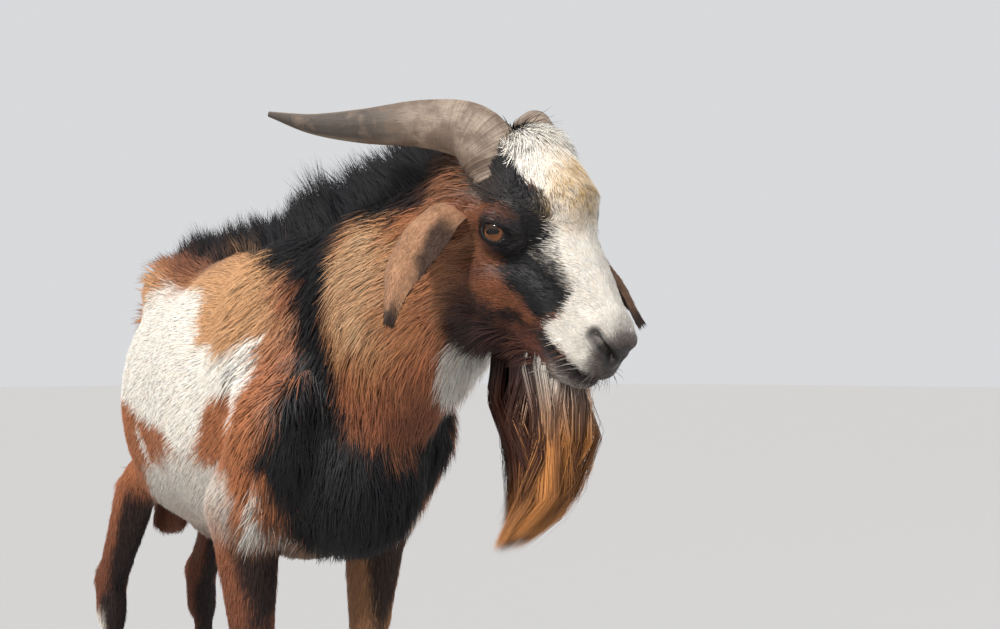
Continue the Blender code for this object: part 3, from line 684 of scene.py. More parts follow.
# Marks of the body, back and up, in the order in which they are laid
BODY_MARKS = (
    Mark(Hue.TAN, (
        (-0.235, 0.690), (-0.270, 0.620), (-0.212, 0.575), (-0.130, 0.565), (-0.070, 0.600),
        (0.100, 0.640), (0.150, 0.660), (0.020, 0.690),
    ), None, 0.016, 0.014),
    Mark(Hue.WHITE, (
        (0.145, 0.628), (0.200, 0.600), (0.210, 0.560), (0.110, 0.528), (0.032, 0.504), (-0.050, 0.502),
        (-0.082, 0.474), (-0.112, 0.480), (-0.132, 0.520), (-0.150, 0.542), (-0.195, 0.549),
        (-0.236, 0.530), (-0.258, 0.522), (-0.266, 0.556), (-0.258, 0.612), (-0.212, 0.592),
        (-0.140, 0.588), (-0.112, 0.582), (-0.096, 0.620), (-0.088, 0.640), (0.016, 0.654),
        (0.090, 0.656),
    ), Side.RIGHT),
    Mark(Hue.WHITE, (
        (0.180, 0.640), (0.230, 0.560), (0.150, 0.500), (0.100, 0.520), (0.060, 0.470), (-0.040, 0.480),
        (-0.020, 0.560), (-0.120, 0.575), (-0.110, 0.640), (0.020, 0.650),
    ), Side.LEFT),
    Mark(Hue.GREY, (
        (0.060, 0.452), (0.010, 0.462), (-0.050, 0.470), (-0.095, 0.480), (-0.130, 0.470),
        (-0.215, 0.466), (-0.236, 0.440), (-0.222, 0.405), (-0.150, 0.390), (-0.100, 0.330),
        (0.060, 0.330), (0.130, 0.400),
    ), None, 0.012, 0.014),
    Mark(Hue.WHITE, (
        (-0.282, 0.474), (-0.260, 0.446), (-0.232, 0.398), (-0.246, 0.396), (-0.262, 0.430),
    ), None, 0.003, 0.003),
    Mark(Hue.WHITE, (
        (0.064, 0.506), (0.052, 0.490), (0.030, 0.446), (0.038, 0.446), (0.060, 0.480),
    ), Side.RIGHT, 0.0025, 0.002),
    Mark(Hue.WHITE, (
        (-0.046, 0.486), (-0.056, 0.484), (-0.066, 0.462), (-0.056, 0.462),
    ), Side.RIGHT, 0.0025, 0.002),
    Mark(Hue.BLACK, (
        (-0.245, 0.700), (-0.284, 0.634), (-0.296, 0.591), (-0.302, 0.541), (-0.298, 0.504),
        (-0.284, 0.466), (-0.264, 0.426), (-0.246, 0.392), (-0.130, 0.388), (-0.130, 0.330),
        (-0.500, 0.330), (-0.540, 0.600), (-0.450, 0.590), (-0.425, 0.560), (-0.390, 0.522),
        (-0.375, 0.502), (-0.356, 0.493), (-0.342, 0.515), (-0.338, 0.550), (-0.330, 0.596),
        (-0.330, 0.633), (-0.338, 0.661), (-0.352, 0.700),
    ), None, 0.008, 0.012),
)

# Marks of the head, back and up in its own frame
HEAD_MARKS = (
    Mark(Hue.MAROON, (
        (0.060, -0.110), (-0.040, -0.120), (-0.120, -0.100), (-0.150, -0.070), (-0.118, -0.050),
        (-0.095, -0.045), (-0.070, -0.055), (-0.040, -0.070), (0.010, -0.070),
    ), None, 0.012, 0.010),
    Mark(Hue.BLACK, (
        (0.070, 0.080), (0.036, 0.070), (0.017, 0.060), (0.002, 0.056), (-0.031, 0.058),
        (-0.044, 0.050), (-0.055, 0.040), (-0.065, 0.030), (-0.073, 0.022), (-0.088, 0.014),
        (-0.096, 0.000), (-0.096, -0.018), (-0.088, -0.033), (-0.066, -0.033), (-0.045, -0.029),
        (-0.029, -0.019), (-0.022, 0.000), (-0.026, 0.012), (-0.016, 0.016), (-0.020, 0.028),
        (-0.002, 0.029), (0.010, 0.018), (0.026, 0.014), (0.046, 0.016), (0.072, 0.030),
    ), None, 0.0035, 0.004),
    Mark(Hue.WHITE, (
        (0.074, 0.078), (0.039, 0.067), (0.017, 0.057), (0.002, 0.053), (-0.002, 0.056),
        (-0.031, 0.056), (-0.044, 0.050), (-0.055, 0.041), (-0.065, 0.031), (-0.073, 0.023),
        (-0.088, 0.015), (-0.096, 0.000), (-0.097, -0.018), (-0.090, -0.031), (-0.097, -0.036),
        (-0.109, -0.040), (-0.124, -0.043), (-0.155, -0.045), (-0.180, 0.040), (-0.060, 0.120),
        (0.074, 0.120),
    ), None, 0.0025, 0.004),
    Mark(Hue.SLATE, (
        (-0.082, -0.040), (-0.100, -0.041), (-0.124, -0.043), (-0.165, -0.037), (-0.165, -0.056),
        (-0.124, -0.060), (-0.096, -0.056),
    ), None, 0.003, 0.005, 0.92),
)
THROAT_PATCH = (Vector((0.045, -0.442, 0.572)), 0.034)
CROWN_TUFT = (Vector((-0.002, -0.022, 0.078)), 0.028)
NOSE_PAD = (Vector((0.0, -0.156, -0.022)), 0.015)
NOSE_SHADE = 0.0255


class Anatomy:
    """The shape of the flesh and what follows from where a point lies on it."""

    def __init__(self) -> None:
        """Make the forms and the frames."""
        self.forms = all_forms()
        self.head = head_frame()
        self.to_head = self.head.inverted()
        self.parts = list(Part)
        poll = self.head @ Vector((0, 0.070, 0.052))
        neck_top = NECK_MIDDLE + UP * 0.090
        line = (
            poll,
            neck_top,
            Vector((0, -0.200, 0.684)),
            swung(Vector((0, -0.060, 0.684))),
            swung(Vector((0, 0.150, 0.678))),
            swung(Vector((0, 0.215, 0.656))),
            swung(Vector((0, 0.245, 0.642))),
        )
        self.crest = np.array(line)
        to_left_horn = self.to_head @ level_frame(HORN_BASE)
        self.horn = np.array([to_left_horn @ Vector(point) for point in HORN_LINE[:4]])

    def in_head(self, points: np.ndarray) -> np.ndarray:
        """Return points in the head's frame."""
        return carried(points, self.to_head)

    def shares(self, points: np.ndarray, softness: float = 0.010) -> dict:
        """Return how much each part owns each point, softly.

        Args:
            points: places on the flesh.
            softness: how far parts run into each other.

        Returns:
            For each part one share a point; a point's shares add up to one.
        """
        nearest = {part: np.full(len(points), 1.0) for part in self.parts}
        for form in self.forms:
            nearest[form.part] = np.minimum(nearest[form.part], form.distance(points))
        least = np.min(list(nearest.values()), axis=0)
        weights = {part: np.exp(-(near - least) / softness) for part, near in nearest.items()}
        total = sum(weights.values())
        return {part: weight / total for part, weight in weights.items()}

    def middle(self, points: np.ndarray) -> np.ndarray:
        """Return the x of the body's middle plane beside each point.

        Args:
            points: places, one a row.

        Returns:
            One x a place.
        """
        places = (-0.502, -0.358, -0.215, 0.300)
        middles = (HEAD_AT.x, NECK_MIDDLE.x, 0.0, SWAY * (0.300 - CHEST.y))
        return np.interp(points[:, 1], places, middles)

    def from_crest(self, points: np.ndarray) -> np.ndarray:
        """Return how far each point is from the line of the mane and the back."""
        return line_distance(points, self.crest)

    def from_horn(self, points: np.ndarray) -> np.ndarray:
        """Return how far each point is from the middle of the nearer horn's root."""
        return line_distance(mirrored_to_left(self.in_head(points)), self.horn)

    def lie(self, points: np.ndarray, normals: np.ndarray) -> np.ndarray:
        """Return the way the coat lies at each point, flat on the skin.

        Args:
            points: places on the flesh.
            normals: the way out of the flesh there.

        Returns:
            Ways of length one, one a row.
        """
        owned = self.shares(points, 0.016)
        x, y, z = self.in_head(points).T
        height = points[:, 2]
        back = np.array((SWAY, 1.0, 0.0))
        down = -UP_ROW
        trunk = back + down * (0.20 + 0.45 * ease(-height, -0.62, -0.50))[:, None]
        rear = ease(points[:, 1], 0.06, 0.20) * ease(-height, -0.62, -0.52)
        trunk = blended(trunk, down + back * 0.25, rear)
        trunk = blended(trunk, down + back * 0.10, ease(-points[:, 1], 0.22, 0.34))
        neck_way = np.array((WITHERS - head_frame() @ Vector((0, 0.05, 0))).normalized())
        neck = blended(neck_way + down * 0.25, down + neck_way * 0.35, ease(-z, 0.09, 0.20))
        aside = np.sign(x) * ease(np.abs(x), 0.004, 0.03)
        up_face = ease(y, -0.055, -0.035) * ease(z, 0.035, 0.050)
        face = blended(rows(aside * 0.45, 0.9, -0.35), rows(aside * 0.30, -1.0, -0.15), up_face)
        cuff = ease(0.034 - self.from_horn(points), -0.004, 0.006) * ease(z, 0.018, 0.030)
        face = blended(face, rows(np.sign(x) * 0.5, 0.8, 0.5), cuff * ease(np.abs(x), 0.024, 0.034))
        ways = {
            Part.TRUNK: trunk,
            Part.NECK: neck,
            Part.HEAD: turned(face, self.head),
            Part.TAIL: np.array((0.0, 0.75, -0.65)),
            Part.BELLY: down,
            Part.LEG: down + back * 0.12,
        }
        way = sum(unit(ways[part]) * owned[part][:, None] for part in self.parts)
        return unit(way - normals * (way * normals).sum(1, keepdims=True))


class Layers:
    """Colours of points, with others laid over them in turn."""

    def __init__(self, hue: Hue, count: int, strength: float = 1.0) -> None:
        """Start with one colour at every point."""
        self.colours = np.tile(hue.linear, (count, 1)) * strength

    def merge(self, others: np.ndarray, cover: np.ndarray) -> None:
        """Lay other colours over these, as fully as cover says."""
        self.colours = self.colours + (others - self.colours) * cover[:, None]

    def lay(self, hue: Hue, cover: np.ndarray) -> None:
        """Lay one hue over the colours, as fully as cover says."""
        self.merge(hue.linear, cover)


class Markings:
    """The colours of skin and coat, worked out from where a point lies."""

    # Dark tops of the back: hue, strength, half width, stray, soft edge, and where along the back it begins
    tops = (
        (Hue.BROWN, 0.85, 0.068, 0.016, (-0.026, 0.020), (-0.02, 0.06)),
        (Hue.MAROON, 0.7, 0.048, 0.010, (-0.018, 0.010), (-0.10, -0.02)),
    )
    pale_neck = Vector((-0.030, -0.375, 0.655))

    def __init__(self, anatomy: Anatomy) -> None:
        """Keep the anatomy that the marks are laid on."""
        self.anatomy = anatomy

    def paint(self, points: np.ndarray) -> np.ndarray:
        """Return the colour at each point of the flesh.

        Args:
            points: places on the flesh in the plan's frame.

        Returns:
            Linear colours, one a row.
        """
        anatomy = self.anatomy
        owned = anatomy.shares(points, 0.006)
        off_head, on_trunk = 1 - owned[Part.HEAD], owned[Part.TRUNK]
        wander = 0.7 * grain(points, 0.014, 11) + 0.45 * grain(points, 0.005, 12)
        off_middle = points[:, 0] - anatomy.middle(points)
        crest = anatomy.from_crest(points)
        _, back, height = points.T
        coat = Layers(Hue.BROWN, len(points))
        coat.lay(Hue.TAN, ease(height + 0.012 * wander, 0.575, 0.640))
        coat.merge(self.neck(points, wander), owned[Part.NECK])
        for mark in BODY_MARKS:
            cover = mark.cover(points[:, 1:], wander) * off_head
            if mark.side:
                cover = cover * ease(off_middle * mark.side.value, 0.0, 0.01)
            coat.lay(mark.hue, cover)
        belly = ease(-height, -0.43, -0.38) * (np.abs(back + 0.08) < 0.17)
        coat.lay(Hue.TAN, 0.35 * belly * on_trunk)
        for hue, strength, width, stray, edge, span in self.tops:
            top = ease(width - crest + stray * wander, *edge) * ease(back, *span)
            coat.lay(hue, strength * top * on_trunk)
        reach = 0.032 + 0.024 * np.exp(-(((back + 0.27) / 0.07) ** 2)) + 0.014 * ease(-back, 0.36, 0.44)
        reach = reach - 0.010 * ease(back, -0.15, -0.08)
        coat.lay(Hue.BLACK, ease(reach - crest + 0.012 * wander, -0.010, 0.006) * off_head)
        coat.merge(*self.legs(points, owned[Part.LEG], wander))
        coat.lay(Hue.BLACK, owned[Part.TAIL])
        coat.lay(Hue.SKIN, owned[Part.BELLY] * (height < 0.42) * 0.8)
        centre, radius = THROAT_PATCH
        throat = distance_from(points, centre, (1, 1, 0.75)) + 0.006 * wander
        coat.lay(Hue.WHITE, ease(radius - throat, -0.004, 0.006))
        coat.merge(self.face(points, anatomy.in_head(points), wander), owned[Part.HEAD])
        return coat.colours

    def neck(self, points: np.ndarray, wander: np.ndarray) -> np.ndarray:
        """Return the neck's colours: tan at its side, rusty behind the jaw and below.

        Args:
            points: places in the plan's frame.
            wander: how marks' edges stray.

        Returns:
            Linear colours, one a row.
        """
        neck = Layers(Hue.RUST, len(points))
        neck.lay(Hue.MAROON, 0.6 * ease(-points[:, 2], -0.57, -0.50))
        spread = distance_from(points, self.pale_neck, (0.5, 1.0, 0.8)) + 0.014 * wander
        pale = 0.72 + 0.45 * grain(points, 0.010, 44)
        neck.lay(Hue.UMBER, np.clip(pale, 0.2, 1.0) * ease(0.060 - spread, -0.020, 0.014))
        neck.lay(Hue.CREAM, 0.5 * np.clip(pale, 0, 1) * ease(0.042 - spread, -0.018, 0.018))
        return neck.colours

    def legs(self, points: np.ndarray, own: np.ndarray, wander: np.ndarray) -> tuple:
        """Return the legs' colours: rusty, with dark fronts, and pale rings above the hooves.

        Args:
            points: places in the plan's frame.
            own: how much of each point is a leg's.
            wander: how marks' edges stray.

        Returns:
            Linear colours, one a row, and how fully they cover the coat.
        """
        _, back, height = points.T
        right = points[:, 0] < self.anatomy.middle(points)
        hind = back > 0.0
        edge = np.where(height > 0.25, -0.238 + 0.10 * (height - 0.25), -0.222)
        near = ease(edge - back + 0.006 * wander, -0.006, 0.006)
        far = ease(back + 0.185 + 0.004 * wander, -0.006, 0.006) * 0.6
        dark = np.where(right, near, np.maximum(far, ease(-0.225 - back, -0.004, 0.004)))
        axis = np.interp(height, (0.0, 0.095, 0.268, 0.420, 0.5), (0.222, 0.244, 0.258, 0.165, 0.15))
        band = ease(axis - back + 0.004 * wander, -0.008, 0.004)
        dark = np.where(hind, band * ease(-height, -0.45, -0.40), dark)
        ring = np.where(hind & right, ease(-height, -0.262, -0.240) * ease(back, 0.250, 0.262), 0.0)
        leg = Layers(Hue.RUST, len(points))
        leg.lay(Hue.MAROON, 0.65 * ease(-height, -0.44, -0.30))
        leg.lay(Hue.TAN, np.where(hind | right, 0.0, 0.5))
        leg.lay(Hue.BLACK, dark * 0.92)
        leg.lay(Hue.WHITE, np.maximum(ring, ease(-height - 0.006 * wander, -0.10, -0.085) * 0.9))
        above = np.where(back < -0.15, ease(-height, -0.47, -0.41), ease(-height, -0.47, -0.40))
        return leg.colours, own * above

    def face(self, points: np.ndarray, head: np.ndarray, wander: np.ndarray) -> np.ndarray:
        """Return the colours of the head.

        Args:
            points: places in the plan's frame.
            head: the same places in the head's frame.
            wander: how marks' edges stray.

        Returns:
            Linear colours, one a row.
        """
        x, y, z = head.T
        face = Layers(Hue.RUST, len(points), 0.72)
        face.lay(Hue.MAROON, 0.68 * self.mottled(points, (0.016, 41), (0.006, 42), -0.30, 0.30))
        soot = self.mottled(points, (0.011, 48), (0.004, 49), 0.0, 0.50)
        face.lay(Hue.BLACK, 0.85 * soot * ease(-y, -0.01, 0.04))
        face.lay(Hue.BLACK, 0.72 * ease(-z + 0.006 * wander, 0.040, 0.066) * ease(-y, -0.01, 0.03))
        # Painted shade: the back of the head behind the cheek, where it meets the neck, is darkened with
        # maroon
        face.lay(Hue.MAROON, 0.8 * ease(y + 0.004 * wander, 0.022, 0.040) * ease(-z, -0.005, 0.020))
        face.lay(Hue.BLACK, ease(y + 0.004 * wander, 0.066, 0.078) * ease(z, -0.01, 0.02))
        for mark in HEAD_MARKS:
            face.lay(mark.hue, mark.cover(head[:, 1:], wander))
        aside = np.abs(x) + 0.003 * wander
        blaze = ease(0.026 - aside, -0.003, 0.003) * ease(z, 0.0, 0.02) * ease(-y, -0.055, -0.045)
        face.lay(Hue.WHITE, blaze)
        centre, radius = CROWN_TUFT
        tuft = distance_from(head, centre, (1.1, 0.75, 0.6)) + 0.008 * wander
        tuft = ease(radius - tuft, -0.016, 0.012) * ease(0.031 - aside, -0.006, 0.004)
        face.lay(Hue.GOLD, np.clip(0.7 + 0.5 * grain(points, 0.004, 46), 0.1, 1.0) * tuft)
        dusk = ease(-y, 0.040, 0.110) * (0.75 + 0.45 * grain(points, 0.005, 47))
        face.colours = face.colours * (1 - 0.17 * dusk)[:, None]
        face.lay(Hue.BLACK, 0.85 * ease(-z + 0.008 * wander, 0.056, 0.078) * ease(-y, -0.03, 0.02))
        speckle = 0.55 + 0.45 * grain(points, 0.0028, 43)
        face.lay(Hue.GREY, 0.8 * ease(-y, 0.102, 0.114) * ease(-z, 0.054, 0.062) * speckle)
        face.lay(Hue.NOSE, 0.30 * ease(-y, 0.128, 0.146) * ease(0.85 - speckle, -0.1, 0.4))
        centre, radius = NOSE_PAD
        pad = distance_from(head, centre, (1.0, 1.1, 0.85))
        face.lay(Hue.NOSE, 0.85 * ease(NOSE_SHADE - pad + 0.003 * wander, -0.007, 0.003))
        face.lay(Hue.SLATE, 0.7 * ease(radius - pad + 0.002 * wander, -0.004, 0.002))
        self.openings(face, mirrored_to_left(head), wander)
        return face.colours

    def mottled(
        self, points: np.ndarray, coarse: tuple, fine: tuple, low: float, high: float
    ) -> np.ndarray:
        """Return blotches from two grains, each a size and a seed, from 0 at low to 1 at high."""
        return ease(grain(points, *coarse) + 0.6 * grain(points, *fine), low, high)

    def openings(self, face: Layers, mirrored: np.ndarray, wander: np.ndarray) -> None:
        """Paint shade into the nostrils and along the mouth's slit, and darken the rims of the eyes and the
        tear lines.

        Args:
            face: the colours of the head.
            mirrored: its places in the head's frame, all brought to the left side.
            wander: how marks' edges stray.
        """
        snout, slit, tear = (line_distance(mirrored, np.array(line)) for line in (
            Skin.nostril, Skin.mouth, Skin.tear_line))
        face.lay(Hue.SLATE, 0.75 * ease(0.0080 - snout, -0.003, 0.003))
        # Painted shade inside the nostril
        face.lay(Hue.PITCH, ease(0.0050 - snout, -0.0010, 0.0010))
        # Painted shade along the slit of the closed mouth
        face.lay(Hue.PITCH, 0.95 * ease(0.0036 - slit - 0.0006 * wander, -0.001, 0.001))
        around = opening_share(mirrored)
        face.lay(Hue.SLATE, 0.65 * ease(2.05 - around - 0.3 * wander, -0.2, 0.2))
        face.lay(Hue.BLACK, 0.95 * ease(1.45 - around - 0.1 * wander, -0.10, 0.10))
        face.lay(Hue.BLACK, 0.9 * ease(0.0055 - tear - 0.0015 * wander, -0.002, 0.002))


def linked(name: str, data: bpy.types.ID) -> bpy.types.Object:
    """Return a new object of the scene that shows a mesh, a light or a camera.

    Args:
        name: name of the object.
        data: what it shows.

    Returns:
        The object.
    """
    made = bpy.data.objects.new(name, data)
    bpy.context.scene.collection.objects.link(made)
    return made


def from_bmesh(name: str, shape: bmesh.types.BMesh) -> bpy.types.Object:
    """Return a new smooth-shaded object made from a bmesh, which is freed.

    Args:
        name: name of the object.
        shape: the finished bmesh.

    Returns:
        The object, linked to the scene.
    """
    mesh = bpy.data.meshes.new(name)
    for face in shape.faces:
        face.smooth = True
    shape.to_mesh(mesh)
    shape.free()
    return linked(name, mesh)


def with_modifiers_applied(thing: bpy.types.Object) -> bpy.types.Object:
    """Return the object with its modifiers turned into mesh.

    Args:
        thing: the object.

    Returns:
        The same object with its new mesh.
    """
    graph = bpy.context.evaluated_depsgraph_get()
    mesh = bpy.data.meshes.new_from_object(thing.evaluated_get(graph))
    thing.modifiers.clear()
    thing.data = mesh
    return thing


def read_points(mesh: bpy.types.Mesh) -> np.ndarray:
    """Return a mesh's points, one a row.

    Args:
        mesh: the mesh.

    Returns:
        Places, one a row.
    """
    points = np.empty(len(mesh.vertices) * 3)
    mesh.vertices.foreach_get("co", points)
    return points.reshape(-1, 3)


def write_points(mesh: bpy.types.Mesh, points: np.ndarray) -> None:
    """Give a mesh new places for its points."""
    mesh.vertices.foreach_set("co", np.ascontiguousarray(points).ravel())
    mesh.update()


def read_normals(mesh: bpy.types.Mesh) -> np.ndarray:
    """Return the way out of the mesh at each point.

    Args:
        mesh: the mesh.

    Returns:
        Directions of length one, one a row.
    """
    normals = np.empty(len(mesh.vertices) * 3, np.float32)
    mesh.vertex_normals.foreach_get("vector", normals)
    return normals.reshape(-1, 3).astype(float)


def write_tint(mesh: bpy.types.Mesh, colours: np.ndarray) -> None:
    """Store a colour for each point of a mesh.

    Args:
        mesh: the mesh.
        colours: linear colours, one a row.
    """
    layer = mesh.attributes.new(TINT, "FLOAT_COLOR", "POINT")
    full = np.concatenate([colours, np.ones((len(colours), 1))], axis=1)
    layer.data.foreach_set("color", full.astype(np.float32).ravel())


def store(mesh: bpy.types.Mesh, name: str, values: np.ndarray) -> None:
    """Store a vector or a number for each point of a mesh.

    Args:
        mesh: the mesh.
        name: name of what is stored.
        values: a vector or a number for each point.
    """
    kind, word = ("FLOAT_VECTOR", "vector") if values.ndim == 2 else ("FLOAT", "value")
    layer = mesh.attributes.new(name, kind, "POINT")
    layer.data.foreach_set(word, values.astype(np.float32).ravel())


def walled(shape: bmesh.types.BMesh, rings: list, closed: bool = False) -> list:
    """Join rings of points with walls of four-sided faces.

    Args:
        shape: what the faces are added to.
        rings: the rings, with the same number of points in each.
        closed: whether the last ring is joined to the first.

    Returns:
        The faces, ring by ring.
    """
    walls = []
    for first, second in zip(rings, rings[1:] + (rings[:1] if closed else [])):
        for step in range(len(first)):
            after = (step + 1) % len(first)
            walls.append(shape.faces.new((first[step], first[after], second[after], second[step])))
    return walls


@dataclass
class Surface:
    """A triangulated surface that hairs can be planted on.

    Args:
        points, normals, ways: place, way out and lie of the coat at each point.
        triangles: point numbers of each triangle.
        places: place on the flat map of each triangle's corners.
    """

    points: np.ndarray
    normals: np.ndarray
    ways: np.ndarray
    triangles: np.ndarray
    places: np.ndarray

    @classmethod
    def of(cls, mesh: bpy.types.Mesh, ways: np.ndarray) -> "Surface":
        """Return the surface of a mesh that has its flat map.

        Args:
            mesh: the mesh.
            ways: lie of the coat at each of its points.

        Returns:
            The surface.
        """
        mesh.calc_loop_triangles()
        count = len(mesh.loop_triangles)
        triangles = np.empty(count * 3, np.int32)
        loops = np.empty(count * 3, np.int32)
        mesh.loop_triangles.foreach_get("vertices", triangles)
        mesh.loop_triangles.foreach_get("loops", loops)
        flat = np.empty(len(mesh.loops) * 2, np.float32)
        mesh.uv_layers[BAKE_MAP].uv.foreach_get("vector", flat)
        places = flat.reshape(-1, 2)[loops].reshape(-1, 3, 2)
        return cls(read_points(mesh), read_normals(mesh), ways, triangles.reshape(-1, 3), places)

    def beside(self, roots: np.ndarray) -> np.ndarray:
        """Return the flat places of the triangles nearest to points beside the surface.

        Args:
            roots: the points, all near one another.

        Returns:
            Flat places, one a row.
        """
        middles = self.points[self.triangles].mean(1)
        centre = roots.mean(0)
        margin, batch = 0.03, 500
        reach = np.linalg.norm(roots - centre, axis=1).max() + margin
        close = np.nonzero(np.linalg.norm(middles - centre, axis=1) < reach)[0]
        nearest = []
        for start in range(0, len(roots), batch):
            gaps = np.linalg.norm(roots[start : start + batch, None] - middles[None, close], axis=2)
            nearest.append(close[np.argmin(gaps, axis=1)])
        return self.places[np.concatenate(nearest)].mean(1)

    def sample(self, density: np.ndarray, count: int, rng: np.random.Generator) -> tuple:
        """Return hairs spread over the surface.

        Args:
            density: how thickly each point is planted.
            count: how many hairs.
            rng: the source of chance.

        Returns:
            Roots, normals, ways and flat places, one a row.
        """
        corners = self.points[self.triangles]
        edges = corners[:, 1:] - corners[:, :1]
        area = np.linalg.norm(np.cross(edges[:, 0], edges[:, 1]), axis=1)
        weight = area * density[self.triangles].mean(1)
        chosen = rng.choice(len(weight), count, p=weight / weight.sum())
        first, second = rng.random((2, count))
        over = first + second > 1
        first, second = np.where(over, 1 - first, first), np.where(over, 1 - second, second)
        shares = np.stack([1 - first - second, first, second], axis=1)[:, :, None]
        whole = (self.points, self.normals, self.ways)
        roots, normals, ways = ((values[self.triangles[chosen]] * shares).sum(1) for values in whole)
        return roots, unit(normals), unit(ways), (self.places[chosen] * shares).sum(1)


def bare_places(
    head: np.ndarray,
    nose_edge: float,
    nostril_width: float,
    lip_width: float,
    lip_edge: float,
    eye_reach: float,
) -> np.ndarray:
    """Return 1 where nose, nostrils, lips or eyes carry no hair, and 0 elsewhere.

    Args:
        head: places in the head's frame.
        nose_edge: how softly the nose ends.
        nostril_width, lip_width: how far the bare skin reaches from the nostril's and the mouth's lines.
        lip_edge: how softly the lips end.
        eye_reach: how far it reaches round the eye, against the opening of the lids.

    Returns:
        One value a place.
    """
    mirrored = mirrored_to_left(head)
    centre, radius = NOSE_PAD
    nose = ease(radius - distance_from(head, centre), -0.002, nose_edge)
    nostril = ease(nostril_width - line_distance(mirrored, np.array(Skin.nostril)), -0.001, 0.001)
    lips = ease(lip_width - line_distance(mirrored, np.array(Skin.mouth)), -lip_edge, lip_edge)
    eye = ease(eye_reach - opening_share(mirrored), -0.1, 0.1)
    return np.max([nose, nostril, lips, eye], axis=0)


class Skin:
    """The one skin of head, neck, trunk, tail and legs, with its lids, nostrils and folds."""

    voxel = 0.0067
    sole_plane = 0.030
    face_middle = Vector((0, -0.030, 0.0))
    nostril = (
        (0.0238, -0.1335, -0.0085),
        (0.0222, -0.1398, -0.0112),
        (0.0185, -0.1458, -0.0135),
        (0.0125, -0.1497, -0.0165),
        (0.0080, -0.1518, -0.0215),
    )
    mouth = (
        (0.0290, -0.0950, -0.0430),
        (0.0240, -0.1180, -0.0475),
        (0.0160, -0.1380, -0.0480),
        (0.0060, -0.1510, -0.0455),
        (0.0000, -0.1540, -0.0450),
    )
    philtrum = ((0.0, -0.154, -0.016), (0.0, -0.156, -0.044))
    tear_line = ((0.0520, -0.0200, 0.0020), (0.0450, -0.0420, -0.0140))
    folds = (
        ((0.0590, 0.0150, 0.0140), (0.0580, 0.0200, -0.0220)),
        ((0.0560, 0.0270, 0.0220), (0.0570, 0.0290, -0.0280)),
    )

    def __init__(self, anatomy: Anatomy, markings: Markings) -> None:
        """Keep the anatomy and the marks."""
        self.anatomy = anatomy
        self.markings = markings

    def rough(self) -> bpy.types.Object:
        """Return the forms run together as one evenly meshed body.

        Returns:
            The body as an object.
        """
        shape = bmesh.new()
        for form in self.anatomy.forms:
            across, upward, along, _ = form.axes()
            ball = bmesh.ops.create_icosphere(shape, subdivisions=3, radius=1.0)["verts"]
            for vert in ball:
                at_end = vert.co.z > 0
                sizes = form.end_size if at_end else form.start_size
                place = form.end if at_end else form.start
                wide, deep, far = (*sizes, form.tips()[at_end])
                flat = across * vert.co.x * wide + upward * vert.co.y * deep
                vert.co = place + flat + along * vert.co.z * far
        skin = from_bmesh("skin", shape)
        remesh = skin.modifiers.new("Remesh", "REMESH")
        remesh.mode = "VOXEL"
        remesh.voxel_size = self.voxel
        return with_modifiers_applied(skin)

    def refine(self, skin: bpy.types.Object) -> None:
        """Divide the mesh more finely on the head, and most about the eyes and the nose.

        Args:
            skin: the evenly meshed body.
        """
        nose = Vector((0, -0.145, -0.020))
        eyes = [EYE_AT * Vector((side.value, 1, 1)) for side in Side]
        zones = (
            ((self.face_middle, 0.135),),
            ((self.face_middle, 0.130),),
            ((nose, 0.036), *((eye, 0.027) for eye in eyes)),
        )
        shape = bmesh.new()
        shape.from_mesh(skin.data)
        for zone in zones:
            chosen = set()
            for edge in shape.edges:
                middle = self.anatomy.to_head @ ((edge.verts[0].co + edge.verts[1].co) / 2)
                if any((middle - centre).length < radius for centre, radius in zone):
                    chosen.add(edge)
            bmesh.ops.subdivide_edges(shape, edges=list(chosen), cuts=1, use_grid_fill=True)
        bmesh.ops.triangulate(shape, faces=[face for face in shape.faces if len(face.verts) > 4])
        shape.to_mesh(skin.data)
        shape.free()

    def lidded(self, head: np.ndarray) -> np.ndarray:
        """Return the head's points with lids drawn over the eyeballs and an almond left open.

        Args:
            head: points in the head's frame, all brought to the left side.

        Returns:
            The moved points, one a row.
        """
        offset = head - np.array(EYE_AT)
        radius = np.linalg.norm(offset, axis=1)
        sight, _, upward = (np.array(axis) for axis in eye_axes())
        high = offset @ upward
        almond = opening_share(head)
        facing = ease(offset @ sight, 0.0, 0.004) * (radius < 2.2 * EYE_RADIUS)
        lid = EYE_RADIUS + 0.0010 + 0.0014 * ease(almond, 1.0, 1.5)
        lid = lid - 0.0070 * ease(1.0 - almond, -0.02, 0.28)
        hold = (1.0 - ease(almond, 1.12, 1.75)) * facing
        crease = 0.0013 * np.exp(-(((almond - np.where(high > 0, 1.75, 1.55)) / 0.13) ** 2)) * facing
        fresh = radius * (1 - hold) + lid * hold - crease
        return np.array(EYE_AT) + offset * (fresh / np.maximum(radius, 1e-6))[:, None]

    def relief(self, head: np.ndarray) -> np.ndarray:
        """Return how far each point of the head stands out for the nostrils, mouth and folds.

        Args:
            head: points in the head's frame, all brought to the left side.

        Returns:
            One height a point, in metres.
        """

        def groove(line: tuple, depth: float, width: float) -> np.ndarray:
            """Return a soft furrow along a line."""
            return -depth * np.exp(-((line_distance(head, np.array(line)) / width) ** 2))

        rim = tuple((x + 0.003, y + 0.001, z + 0.006) for x, y, z in self.nostril)
        height = groove(self.nostril, 0.0130, 0.0038)
        height -= groove(rim, 0.0016, 0.0030)
        height += groove(self.mouth, 0.0034, 0.0017)
        height += groove(self.philtrum, 0.0016, 0.0016)
        height += groove(self.tear_line, 0.0016, 0.0022)
        for fold in self.folds:
            height += groove(fold, 0.0020, 0.0028)
        height += 0.0004 * grain(head, 0.006, 5) * ease(-head[:, 1], 0.0, 0.05)
        return height

